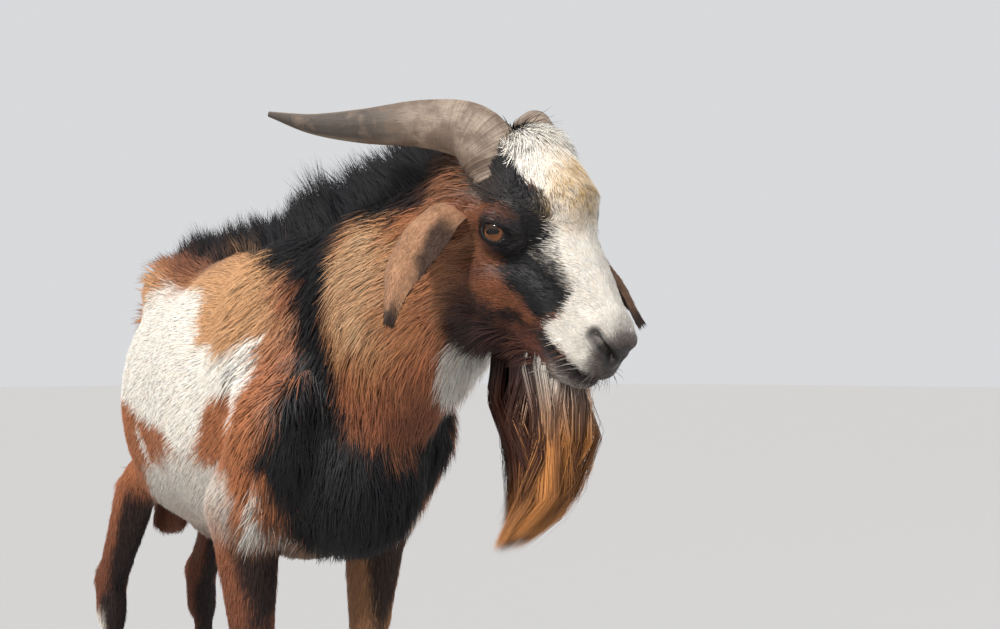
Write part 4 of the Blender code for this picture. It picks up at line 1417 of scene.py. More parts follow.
    def flat_map(self, skin: bpy.types.Object) -> None:
        """Unwrap the skin into the flat map that the hairs' places are taken from.

        Args:
            skin: the skin as an object.
        """
        bpy.context.view_layer.objects.active = skin
        skin.select_set(True)
        skin.data.uv_layers.new(name=BAKE_MAP)
        bpy.ops.object.mode_set(mode="EDIT")
        bpy.ops.mesh.select_all(action="SELECT")
        bpy.ops.uv.smart_project(angle_limit=math.radians(66), island_margin=0.002)
        bpy.ops.object.mode_set(mode="OBJECT")
        skin.select_set(False)

    def build(self) -> tuple:
        """Return the skin and the surface that the coat is planted on, both in the plan's frame.

        Returns:
            The skin as an object, and its surface.
        """
        anatomy = self.anatomy
        skin = self.rough()
        self.refine(skin)
        points = settle(read_points(skin.data), anatomy.forms)
        write_points(skin.data, points)
        LOG.info("skin settled: %d points", len(points))
        normals = read_normals(skin.data)
        near = distance_from(anatomy.in_head(points), self.face_middle) < 0.15
        head = anatomy.in_head(points[near])
        mirrored = mirrored_to_left(head)
        shaped = carried(self.lidded(mirrored) * left_flip(head), anatomy.head)
        points[near] = shaped + normals[near] * self.relief(mirrored)[:, None]
        points[:, 2] = np.maximum(points[:, 2], self.sole_plane)
        write_points(skin.data, points)
        self.flat_map(skin)
        normals = read_normals(skin.data)
        ways = anatomy.lie(points, normals)
        colours = self.markings.paint(points)
        # The skin under the coat takes the coat's colours darkened, as painted shade among the hair's roots;
        # pale parts are darkened less
        paleness = ease(colours.mean(1), 0.25, 0.60)
        write_tint(skin.data, colours * (0.62 + 0.30 * paleness)[:, None])
        store(skin.data, LIE, ways)
        store(skin.data, BARE, self.bareness(points))
        return skin, Surface.of(skin.data, ways)

    def bareness(self, points: np.ndarray) -> np.ndarray:
        """Return 1 where the skin has no hair, on the nose, lips and lids, and 0 elsewhere."""
        return bare_places(self.anatomy.in_head(points), 0.003, 0.0068, 0.0034, 0.0007, 1.35)


@dataclass(frozen=True)
class Growth:
    """One kind of hair and how it grows.

    Args:
        name: name of its pieces.
        count: how many hairs.
        length, width: mean size of a hair.
        rise: how steeply a hair leaves the skin, against its run along it.
        bends: stretches in each hair.
        droop: how far its end is drawn down.
        stray: how far single hairs turn from their neighbours.
        clump: how far tufts of hair lean together.
        root, tip: how bright the hair is at its ends against its own colour; the darker root is painted shade
            among the hairs at the skin.
        tip_hue: a colour that the ends take on.
    """

    name: str
    count: int
    length: float
    width: float
    rise: float = 0.22
    bends: int = 1
    droop: float = 0.0
    stray: float = 0.10
    clump: float = 0.25
    root: float = 0.60
    tip: float = 1.12
    tip_hue: Hue | None = None


@dataclass
class Hairs:
    """Hairs ready to be made: where each starts, where it bends to and where it ends.

    Args:
        roots, knees, tips: three places on each hair's curve.
        normals: the way out of the skin at each root.
        widths: width at each root.
        colours: colour of each hair.
        places: place of each root on the skin's flat map.
    """

    roots: np.ndarray
    knees: np.ndarray
    tips: np.ndarray
    normals: np.ndarray
    widths: np.ndarray
    colours: np.ndarray
    places: np.ndarray


class HairMesh:
    """Turns hairs into closed three-sided spikes, in pieces of limited size."""

    most_triangles = 180_000
    patch = 0.003

    def __init__(self, finish: bpy.types.Material, shift: Vector) -> None:
        """Keep the finish of the hair and the move from the plan to the model.

        Args:
            finish: the hair's material.
            shift: the move from the plan's frame to the model's.
        """
        self.finish = finish
        self.shift = np.array(shift)

    def faces(self, bends: int) -> np.ndarray:
        """Return the triangles of one spike by its own point numbers.

        Args:
            bends: stretches in each hair.

        Returns:
            Three point numbers a row.
        """
        faces = [(0, 1, 2)]
        for ring in range(bends - 1):
            low, high = 3 * ring, 3 * ring + 3
            for first, second in ((1, 0), (2, 1), (0, 2)):
                faces.append((low + first, low + second, high + second))
                faces.append((low + first, high + second, high + first))
        low, end = 3 * (bends - 1), 3 * bends
        faces += [(low + 1, low, end), (low + 2, low + 1, end), (low, low + 2, end)]
        return np.array(faces)

    def spikes(self, hairs: Hairs, bends: int, shades: tuple, tip_hue: Hue | None) -> tuple:
        """Return points, colours, flat places and facings of every spike, each as rows of its own points.

        Args:
            hairs: the hairs.
            bends: stretches in each hair.
            shades: brightness at root and tip; the darker root is painted shade.
            tip_hue: a colour that the ends take on.

        Returns:
            Four arrays, each by hair and by point of the hair.
        """
        points, colours, places, facings = [], [], [], []
        for step in range(bends + 1):
            t = step / bends
            spot = (1 - t) ** 2 * hairs.roots + 2 * t * (1 - t) * hairs.knees + t**2 * hairs.tips
            way = unit((1 - t) * (hairs.knees - hairs.roots) + t * (hairs.tips - hairs.knees))
            lateral = unit(np.cross(way, hairs.normals))
            thick = np.cross(lateral, way)
            half = (hairs.widths * (1 - t**1.6) / 2)[:, None]
            # Painted shade: the hair is darker towards its root
            colour = hairs.colours * (shades[0] + (shades[1] - shades[0]) * t**0.7)
            if tip_hue:
                colour = colour + (tip_hue.linear - colour) * ease(np.array([t]), 0.45, 0.95)[0]
            ring = ((-1, 0), (1, 0), (0, 0.8)) if step < bends else ((0, 0),)
            for aside, above in ring:
                points.append(spot + lateral * half * aside + thick * half * above)
                colours.append(colour)
                places.append(hairs.places + self.patch / 2 * np.array((aside, 2 * t - 1)))
                facings.append(unit(thick * 0.45 + hairs.normals * 0.55 + lateral * 0.40 * aside))
        return tuple(np.stack(rows, axis=1) for rows in (points, colours, places, facings))

    def make(self, name: str, hairs: Hairs, bends: int, shades: tuple, tip_hue: Hue | None = None) -> list:
        """Return the pieces made of the hairs.

        Args:
            name: name of the pieces.
            hairs: the hairs.
            bends: stretches in each hair.
            shades: brightness at root and tip; the darker root is painted shade.
            tip_hue: a colour that the ends take on.

        Returns:
            The pieces as objects.
        """
        return self.pieces(name, bends, *self.spikes(hairs, bends, shades, tip_hue))

    def pieces(self, name: str, bends: int, *rows: np.ndarray) -> list:
        """Return the pieces that hold spikes, as few hairs in each as its size allows.

        Args:
            name: name of the pieces.
            bends: stretches in each hair.
            rows: every spike's own points, their colours, their places on the flat map and their facings.

        Returns:
            The pieces as objects.
        """
        points, colours, places, facings = rows
        own_faces = self.faces(bends)
        share = self.most_triangles // len(own_faces)
        pieces = []
        for number, start in enumerate(range(0, len(points), share), 1):
            part = slice(start, start + share)
            count, each = points[part].shape[:2]
            faces = (own_faces[None] + each * np.arange(count)[:, None, None]).reshape(-1, 3)
            flat = places[part].reshape(-1, 2)[faces.ravel()]
            mesh = self.mesh(f"{name}_{number}", points[part].reshape(-1, 3) + self.shift, faces, flat)
            write_tint(mesh, colours[part].reshape(-1, 3))
            store(mesh, "custom_normal", facings[part].reshape(-1, 3))
            mesh.materials.append(self.finish)
            pieces.append(linked(mesh.name, mesh))
        return pieces

    def mesh(self, name: str, points: np.ndarray, faces: np.ndarray, flat: np.ndarray) -> bpy.types.Mesh:
        """Return a triangle mesh with its flat map.

        Args:
            name: name of the mesh.
            points: places, one a row.
            faces: point numbers of each triangle.
            flat: place on the flat map of each triangle's corners.

        Returns:
            The mesh.
        """
        mesh = bpy.data.meshes.new(name)
        mesh.vertices.add(len(points))
        mesh.vertices.foreach_set("co", points.astype(np.float32).ravel())
        mesh.loops.add(faces.size)
        mesh.loops.foreach_set("vertex_index", faces.astype(np.int32).ravel())
        mesh.polygons.add(len(faces))
        mesh.polygons.foreach_set("loop_start", np.arange(0, faces.size, 3, dtype=np.int32))
        mesh.update(calc_edges=True)
        mesh.uv_layers.new(name=BAKE_MAP).uv.foreach_set("vector", flat.astype(np.float32).ravel())
        mesh.shade_smooth()
        return mesh


class Coat:
    """The coat over the skin: short on face and legs, long on neck and chest, standing on the back."""

    face = Growth("coat_face", 46000, 0.0062, 0.00085, rise=0.16, clump=0.14, root=0.82, tip=1.08)
    brow = Growth("coat_brow", 6500, 0.018, 0.0010, 0.16, 2, 0.0, 0.09, 0.30, 0.86)
    jaw = Growth("coat_jaw", 5200, 0.032, 0.0010, 0.30, 2, 0.9, 0.14, 0.50, 0.8, 1.5)
    cuff = Growth("coat_cuff", 1800, 0.012, 0.0010, 0.25, 2, 0.0, 0.10, 0.20, 0.8)
    whiskers = Growth("coat_whiskers", 130, 0.017, 0.00042, 1.2, 2, 0.5, 0.25, 0.1, 1.0)
    neck = Growth("coat_neck", 29000, 0.031, 0.0012, 0.30, 2, 0.25, 0.13, 0.27, 0.72)
    chest = Growth("coat_chest", 10000, 0.030, 0.0013, rise=0.28, bends=2, droop=0.35, clump=0.40, tip=1.25)
    trunk = Growth("coat_trunk", 82000, 0.0145, 0.00105, 0.11, 1, 0.0, 0.07, 0.13, 0.88, 1.06)
    legs = Growth("coat_legs", 30000, 0.0095, 0.0011, rise=0.14, clump=0.15, root=0.74)
    mane = Growth("coat_mane", 14000, 0.050, 0.0010, 1.5, 2, 0.0, 0.20, 0.60, 0.85, 1.2, Hue.BLACK)
    rump = Growth("coat_rump", 3600, 0.027, 0.0010, 0.85, 2, 0.0, 0.18, 0.50, 0.85, 1.1, Hue.BLACK)
    tail = Growth("coat_tail", 2500, 0.034, 0.0014, rise=0.30, bends=2, droop=0.4, clump=0.3)
    throat = Growth("coat_throat", 1800, 0.036, 0.0012, rise=0.22, bends=2, droop=0.8, clump=0.4, root=0.8)

    def __init__(self, anatomy: Anatomy, markings: Markings, surface: Surface, maker: HairMesh) -> None:
        """Keep the skin that the coat grows on.

        Args:
            anatomy: the shape of the flesh.
            markings: its colours.
            surface: the skin, in the plan's frame.
            maker: what turns hairs into pieces.
        """
        self.anatomy = anatomy
        self.markings = markings
        self.surface = surface
        self.maker = maker
        points = surface.points
        self.owned = anatomy.shares(points, 0.012)
        self.head = anatomy.in_head(points)
        self.crest = anatomy.from_crest(points)
        self.furred = 1.0 - np.clip(self.bare(points), 0, 1)

    def bare(self, points: np.ndarray) -> np.ndarray:
        """Return 1 where no hair grows: nose, lips, eye openings, horn roots and inside the hooves.

        Args:
            points: points of the skin.

        Returns:
            One value a point.
        """
        face = bare_places(self.head, 0.002, 0.0092, 0.0030, 0.0005, 1.30)
        sole = ease(-points[:, 2], -0.036, -0.034)
        horn = ease(0.0165 - self.anatomy.from_horn(points), -0.001, 0.001)
        return np.max([face, sole, horn], axis=0)

    def grow(self, growth: Growth, density: np.ndarray, seed: int) -> list:
        """Return the pieces of one kind of hair.

        Args:
            growth: the kind.
            density: how thickly each point of the skin is planted.
            seed: start of its chance.

        Returns:
            The pieces as objects.
        """
        rng = np.random.default_rng(seed)
        roots, normals, ways, places = self.surface.sample(density * self.furred, growth.count, rng)
        normals = np.where((normals * normals).sum(1, keepdims=True) > 0.5, normals, (0, 0, 1))
        lean = grain_vector(roots, 0.013, seed) * growth.clump
        lean += grain_vector(roots, 0.004, seed + 5) * growth.clump * 0.6
        ways = unit(ways + lean + rng.normal(0, growth.stray, roots.shape))
        ways = unit(ways - normals * (ways * normals).sum(1, keepdims=True))
        lengths = growth.length * self.length(roots, growth) * rng.uniform(0.7, 1.25, len(roots))
        rise = growth.rise * rng.uniform(0.6, 1.5, len(roots)) * (1 + 0.5 * grain(roots, 0.010, seed + 9))
        start = unit(ways + normals * rise[:, None])
        fallen = unit(ways + normals * (rise * 0.35)[:, None] - UP_ROW * growth.droop)
        end = fallen if growth.bends > 1 else start
        if growth is self.mane:
            start, end = self.standing(roots, normals, lean, rng)
        knees = roots + start * (lengths / 2)[:, None]
        tips = knees + end * (lengths / 2)[:, None]
        colours = self.markings.paint(roots + rng.normal(0, 0.0022, roots.shape))
        if growth is self.mane:
            browner = 0.35 * ease(roots[:, 1], -0.16, -0.06)
            hold = rng.uniform(0.82, 1.0, len(roots)) - browner * rng.random(len(roots))
            colours += (Hue.BLACK.linear - colours) * hold[:, None]
        light = rng.normal(1.0, 0.10, (len(roots), 1)) * (1 + 0.10 * grain(roots, 0.006, seed + 12))[:, None]
        warm = rng.normal(0, 0.04, (len(roots), 1)) * np.array((1.0, 0.0, -1.0))
        colours = np.clip(colours * np.clip(light, 0.5, 1.6) * (1 + warm), 0.0, 0.9)
        widths = growth.width * rng.uniform(0.75, 1.3, len(roots))
        hairs = Hairs(roots - normals * 0.0004, knees, tips, normals, widths, colours, places)
        return self.maker.make(growth.name, hairs, growth.bends, (growth.root, growth.tip), growth.tip_hue)

    def standing(
        self, roots: np.ndarray, normals: np.ndarray, lean: np.ndarray, rng: np.random.Generator
    ) -> tuple:
        """Return the first and last ways of the hairs that stand up along the mane and the back.

        Args:
            roots: where the hairs leave the skin.
            normals: the way out of the skin there.
            lean: how the tufts lean.
            rng: the source of chance.

        Returns:
            The first and the last ways, one a row.
        """
        back = np.array((SWAY, 1.0, 0.0))
        on_neck = ease(-roots[:, 1], 0.24, 0.34)[:, None]
        start = unit(normals * 0.5 + UP_ROW + back * (0.35 + 0.35 * on_neck) + lean * 0.8)
        stray = rng.normal(0, 0.10, roots.shape)
        end = unit(start + back * 0.35 + lean * 0.7 + stray)
        return start, end

    def length(self, roots: np.ndarray, growth: Growth) -> np.ndarray:
        """Return how long the coat is at each root against the kind's mean length.

        Args:
            roots: where the hairs leave the skin.
            growth: their kind.

        Returns:
            One factor a root.
        """
        head = self.anatomy.in_head(roots)
        if growth is self.face:
            muzzle = ease(-head[:, 1], 0.09, 0.13)
            return (1.0 - 0.45 * muzzle) * (1.0 + 0.7 * ease(-head[:, 2], 0.06, 0.10))
        if growth is self.brow:
            return 0.35 + 0.65 * ease(head[:, 1], -0.045, 0.0) * ease(head[:, 2], 0.050, 0.070)
        if growth is self.neck:
            return 0.75 + 0.45 * ease(head[:, 1], -0.02, 0.10)
        if growth is self.mane:
            crest = self.anatomy.from_crest(roots)
            along = roots[:, 1]
            tall = 1.0 + 0.20 * np.exp(-(((along + 0.36) / 0.10) ** 2)) - 0.24 * ease(along, -0.16, -0.05)
            tall = tall * (1.0 + 0.42 * grain(roots, 0.017, 77))
            return tall * (1.0 - 0.40 * ease(crest, 0.008, 0.034)) * (1 - 0.50 * ease(-along, 0.39, 0.45))
        if growth is self.legs:
            return 1.0 + 0.5 * ease(roots[:, 2], 0.30, 0.42)
        if growth is self.trunk:
            return 1.0 + 0.35 * ease(0.06 - self.anatomy.from_crest(roots), 0.0, 0.03)
        return np.ones(len(roots))

    def build(self) -> list:
        """Return every piece of the coat.

        Returns:
            The pieces as objects.
        """
        owned, points = self.owned, self.surface.points
        x, y, z = self.head.T
        back = points[:, 1]
        on_head, on_neck, on_trunk = (owned[part] for part in (Part.HEAD, Part.NECK, Part.TRUNK))
        front = ease(-back, 0.24, 0.29)
        fine = 1.0 + 1.3 * ease(-y, 0.06, 0.12)
        brow = ease(y, -0.045, -0.030) * ease(z, 0.052, 0.062) * ease(-y, -0.085, -0.075)
        nape = ease(y, 0.060, 0.075)
        cuff = ease(0.031 - self.anatomy.from_horn(points), -0.004, 0.004) * ease(z, 0.020, 0.030)
        cuff = cuff * ease(np.abs(x), 0.024, 0.034)
        jaw = ease(-z, 0.062, 0.078) * ease(-y, -0.020, 0.0) * ease(y, -0.118, -0.105)
        from_mouth = line_distance(mirrored_to_left(self.head), np.array(Skin.mouth))
        lips = ease(0.012 - from_mouth, -0.004, 0.004)
        centre, radius = THROAT_PATCH
        ridge = ease(0.026 - self.crest, -0.008, 0.008) * ease(y, 0.092, 0.106)
        ridge = ridge * ease(0.262 - back, 0.0, 0.01) * (1 - 0.25 * ease(back, -0.16, -0.08))
        rump = ease(0.066 - self.crest, -0.020, 0.020) * ease(back, 0.02, 0.08)
        rump = rump * ease(0.250 - back, 0.0, 0.02)
        plan = (
            (self.face, on_head * fine * (1 - nape), 101),
            (self.brow, on_head * brow, 102),
            (self.jaw, on_head * jaw, 110),
            (self.cuff, (on_head + on_neck) * cuff, 111),
            (self.whiskers, on_head * lips, 112),
            (self.neck, ease(on_neck, 0.15, 0.50) + 0.8 * on_head * nape, 103),
            (self.chest, ease(on_trunk, 0.15, 0.50) * front, 104),
            (self.trunk, ease(on_trunk, 0.05, 0.40) * (1 - 0.8 * front), 105),
            (self.legs, owned[Part.LEG] + owned[Part.BELLY], 106),
            (self.mane, ridge, 107),
            (self.rump, rump, 113),
            (self.tail, owned[Part.TAIL], 108),
            (self.throat, (distance_from(points, centre) < radius).astype(float), 109),
        )
        pieces = []
        for growth, density, seed in plan:
            pieces += self.grow(growth, density, seed)
            LOG.info("%s grown: %d hairs", growth.name, growth.count)
        return pieces


def smooth_path(points: list, count: int) -> list:
    """Return evenly counted points on a smooth curve through the given points.

    Args:
        points: the curve's own points.
        count: how many points to return.

    Returns:
        The points as vectors.
    """
    points = [Vector(p) for p in points]
    ends = [points[0] * 2 - points[1], *points, points[-1] * 2 - points[-2]]
    path = []
    for place in np.linspace(0, len(points) - 1, count):
        index = min(int(place), len(points) - 2)
        t = place - index
        p0, p1, p2, p3 = ends[index : index + 4]
        bend = (p0 * 2 - p1 * 5 + p2 * 4 - p3) * t**2 + (p1 * 3 - p0 - p2 * 3 + p3) * t**3
        path.append((p1 * 2 + (p2 - p0) * t + bend) / 2)
    return path


def side_path(side: Side, base: tuple, line: tuple, count: int) -> tuple:
    """Return the level frame at a place of the head and a smooth path that starts there.

    Args:
        side: the side of the head.
        base: the place in the head's frame, for the left side.
        line: points of the path in the level frame, for the left side.
        count: how many points the path has.

    Returns:
        The frame and the points of the path.
    """
    flip = Vector((side.value, 1, 1))
    frame = level_frame(flip * Vector(base))
    return frame, smooth_path([frame @ (flip * Vector(point)) for point in line], count)


@dataclass
class Sweep:
    """A closed body swept along a path, whose rings have a width and a depth.

    Args:
        path: centres of the rings.
        wide_axes: direction of each ring's width, made square to the path here.
        around: points in each ring.
    """

    path: list
    wide_axes: list
    around: int

    def frame(self, index: int) -> tuple:
        """Return a ring's centre and its wide and deep axes.

        Args:
            index: number of the ring.

        Returns:
            Three vectors.
        """
        ahead = self.path[min(index + 1, len(self.path) - 1)]
        behind = self.path[max(index - 1, 0)]
        along = (ahead - behind).normalized()
        wide = (self.wide_axes[index] - along * self.wide_axes[index].dot(along)).normalized()
        return self.path[index], wide, along.cross(wide)

    def build(self, name: str, section: callable, map_name: str = "along") -> bpy.types.Object:
        """Return the body, with a flat map of its share around and its share along.

        Args:
            name: name of the object.
            section: function of (share along, angle) that gives a ring point's offsets.
            map_name: name of the flat map.

        Returns:
            The body as an object.
        """
        shape = bmesh.new()
        rings = []
        last = len(self.path) - 1
        for index in range(last + 1):
            centre, wide, deep = self.frame(index)
            ring = bmesh.ops.create_circle(shape, segments=self.around, radius=1.0)["verts"]
            for step, vert in enumerate(ring):
                x, y = section(index / last, 2 * math.pi * step / self.around)
                vert.co = centre + wide * x + deep * y
            rings.append(ring)
        flat = shape.loops.layers.uv.new(map_name)
        for number, face in enumerate(walled(shape, rings)):
            row, step = divmod(number, self.around)
            corners = ((step, row), (step + 1, row), (step + 1, row + 1), (step, row + 1))
            for loop, (u, v) in zip(face.loops, corners):
                loop[flat].uv = (u / self.around, v / last)
        for ring, back in ((rings[0], True), (rings[-1], False)):
            face = shape.faces.new(list(reversed(ring)) if back else ring)
            poke = bmesh.ops.poke(shape, faces=[face])
            for loop in (loop for part in poke["faces"] for loop in part.loops):
                loop[flat].uv = (0.5, 0.0 if back else 1.0)
        bmesh.ops.recalc_face_normals(shape, faces=shape.faces)
        return from_bmesh(name, shape)


@dataclass
class Horn:
    """A keeled horn, ringed at its root, that sweeps back and out and flattens to its tip."""

    side: Side
    base: tuple = HORN_BASE
    line: tuple = HORN_LINE
    rings: int = 220
    width: float = 0.0210
    depth: float = 0.0285
    tip: float = 0.0025
    twist: float = math.radians(30)
    ridge: float = 0.0011
    ridges: int = 26

    def build(self) -> bpy.types.Object:
        """Return the horn in the plan's frame.

        Returns:
            The horn as an object.
        """
        sign = self.side.value
        frame, path = side_path(self.side, self.base, self.line, self.rings)
        inward = frame.to_3x3() @ Vector((-sign, 0.35, 0.0))
        axis = frame.to_3x3() @ Vector((sign * 0.5, 0.8, 0.1))
        turns = (sign * self.twist * ring / self.rings for ring in range(self.rings))
        wide_axes = [Matrix.Rotation(turn, 3, axis) @ inward for turn in turns]

        def section(share: float, angle: float) -> tuple:
            """Return a ring point's offsets, with growth rings that fade towards the tip.

            Args:
                share: how far along the body the ring lies.
                angle: way round the ring.

            Returns:
                Offsets across and in depth.
            """
            taper = 1.0 - share**1.5
            keel = 1.0 - 0.22 * math.sin(angle) * sign * taper
            wave = (share * self.ridges + 0.35 * math.sin(angle) + 0.5 * math.sin(9 * share)) % 1.0
            swell = self.ridge * (1.0 - share) ** 3.5 * (wave**0.6 - 0.6)
            taper *= 0.72 + 0.28 * ease(np.array([share]), 0.02, 0.14)[0]
            fibre = 0.00022 * math.sin(11 * angle + 3 * share) * taper
            width = self.width * taper + self.tip + swell + fibre
            depth = self.depth * taper + self.tip + swell + fibre
            return width * math.cos(angle) * keel, depth * math.sin(angle)

        return Sweep(path, wide_axes, 56).build(f"horn_shell_{self.side.word}", section)


@dataclass
class Ear:
    """A long hanging ear, a cupped leaf with its hollow side inward and a curled rim, darkened with painted
    shade on the rim, the tip and the hollow.
    """

    side: Side
    base: tuple = (0.050, 0.044, -0.008)
    line: tuple = (
        (-0.006, 0.000, 0.001),
        (0.012, 0.000, -0.002),
        (0.042, -0.004, -0.020),
        (0.080, -0.018, -0.058),
        (0.106, -0.034, -0.100),
    )
    curl_spans: tuple = (np.array((0.35, 0.25)), np.array((1.0, 0.6)))
    rings: int = 90
    around: int = 48
    thickness: float = 0.0022
    velvet = Growth("ear_velvet", 8000, 0.0042, 0.0007, rise=0.10, clump=0.12, root=0.85, tip=1.08)

    def build(self) -> bpy.types.Object:
        """Return the ear in the plan's frame, with its colours on it.

        Returns:
            The ear as an object.
        """
        sign = self.side.value
        frame, path = side_path(self.side, self.base, self.line, self.rings)
        backward = frame.to_3x3() @ Vector((0, 1, 0.15))

        def section(share: float, angle: float) -> tuple:
            """Return a ring point's offsets: a bowed leaf, thicker at its root and its rim.

            Args:
                share: how far along the body the ring lies.
                angle: way round the ring.

            Returns:
                Offsets across and in depth.
            """
            width = 0.0110 + 0.0135 * math.sin(math.pi * share**0.85)
            if share > 0.6:
                width *= max(1.0 - ((share - 0.6) / 0.42) ** 1.5, 0.06)
            thick = self.thickness + 0.0075 * max(0.0, 1.0 - share * 5)
            cup = 0.55 * width * (1.0 - 0.4 * share) * min(1.0, share * 4)
            x = width * math.cos(angle)
            bow = cup * (0.5 - math.cos(angle) ** 2)
            fore, along = ease(np.array((-math.cos(angle), share)), *self.curl_spans)
            curl = -0.007 * fore * along
            ripple = 0.0005 * math.sin(26 * share + 2 * math.cos(angle))
            return x, thick * math.sin(angle) + (bow + curl + ripple) * sign

        self.path = np.array(path)
        self.backward = np.array(backward)
        leaf = Sweep(path, [backward] * self.rings, self.around)
        ear = leaf.build(f"ear_{self.side.word}_leaf", section, BAKE_MAP)
        write_tint(ear.data, self.tints(read_points(ear.data), read_normals(ear.data)))
        return ear

    def shares(self, points: np.ndarray) -> tuple:
        """Return how far along the ear each point is, and how far behind its middle line.

        Args:
            points: places on the ear.

        Returns:
            Shares of the ear's length, and metres behind its middle line.
        """
        nearest = np.argmin(np.linalg.norm(points[:, None] - self.path[None], axis=2), axis=1)
        return nearest / (len(self.path) - 1), (points - self.path[nearest]) @ self.backward

    def tints(self, points: np.ndarray, normals: np.ndarray) -> np.ndarray:
        """Return the ear's colours: rusty root and tan back, with painted shade on the rim, the tip and the
        hollow, and over the whole left ear.

        Args:
            points: places on the ear.
            normals: the way out of the ear there.

        Returns:
            Linear colours, one a row.
        """
        share, across = self.shares(points)
        outward = (normals @ np.array(Vector((self.side.value, -0.15, 0.35)).normalized())) > -0.05
        wander = 0.5 * grain(points, 0.006, 31)
        colours = np.tile(shade(168, 126, 96), (len(points), 1))
        # The grain varies the tone; the left ear is darkened all over as painted shade
        colours *= (1 + 0.18 * grain(points, 0.012, 33)[:, None]) * (0.6 if self.side is Side.LEFT else 1.0)
        rooty = ease(-share + 0.05 * wander, -0.34, -0.10)
        colours += (Hue.RUST.linear - colours) * rooty[:, None]
        # Painted shade along the curled lower rim and at the tip
        rim = ease(-across + 0.003 * wander, 0.009, 0.015) * ease(share, 0.30, 0.50)
        rim = np.maximum(rim, ease(share + 0.04 * wander, 0.88, 0.96))
        colours += (shade(50, 38, 34) - colours) * (rim * 0.9)[:, None]
        # Painted shade in the hollow, on the faces turned inward
        inner = np.where(outward, 0.0, 1.0) * ease(share, 0.05, 0.25)
        dark = np.tile(shade(62, 48, 42), (len(points), 1)) * (1 + 0.2 * wander)[:, None]
        return colours + (dark - colours) * (inner * 0.9)[:, None]

    def hairs(self, ear: bpy.types.Object, maker: HairMesh) -> list:
        """Return the ear's short hairs, which lie from its root to its tip.

        Args:
            ear: the ear, still in the plan's frame.
            maker: what turns hairs into pieces.

        Returns:
            The pieces as objects.
        """
        rng = np.random.default_rng(401 + self.side.value)
        points = read_points(ear.data)
        along = unit(np.gradient(self.path, axis=0))
        share, _ = self.shares(points)
        ways = along[np.rint(share * (len(along) - 1)).astype(int)]
        surface = Surface.of(ear.data, ways)
        roots, normals, ways, places = surface.sample(np.ones(len(points)), self.velvet.count, rng)
        lean = grain_vector(roots, 0.008, 61) * self.velvet.clump + rng.normal(0, 0.10, roots.shape)
        ways = unit(ways + lean + normals * self.velvet.rise)
        longer = (1 + 1.2 * ease(-self.shares(roots)[0], -0.3, 0.0))[:, None]
        lengths = self.velvet.length * rng.uniform(0.6, 1.3, (len(roots), 1)) * longer
        colours = np.clip(self.tints(roots, normals) * rng.normal(1.0, 0.08, (len(roots), 1)), 0, 0.9)
        widths = self.velvet.width * rng.uniform(0.75, 1.3, len(roots))
        knees = roots + ways * lengths / 2
        tips = knees + ways * lengths / 2
        hairs = Hairs(roots, knees, tips, normals, widths, colours, places)
        name = f"{self.velvet.name}_{self.side.word}"
        return maker.make(name, hairs, 1, (self.velvet.root, self.velvet.tip))


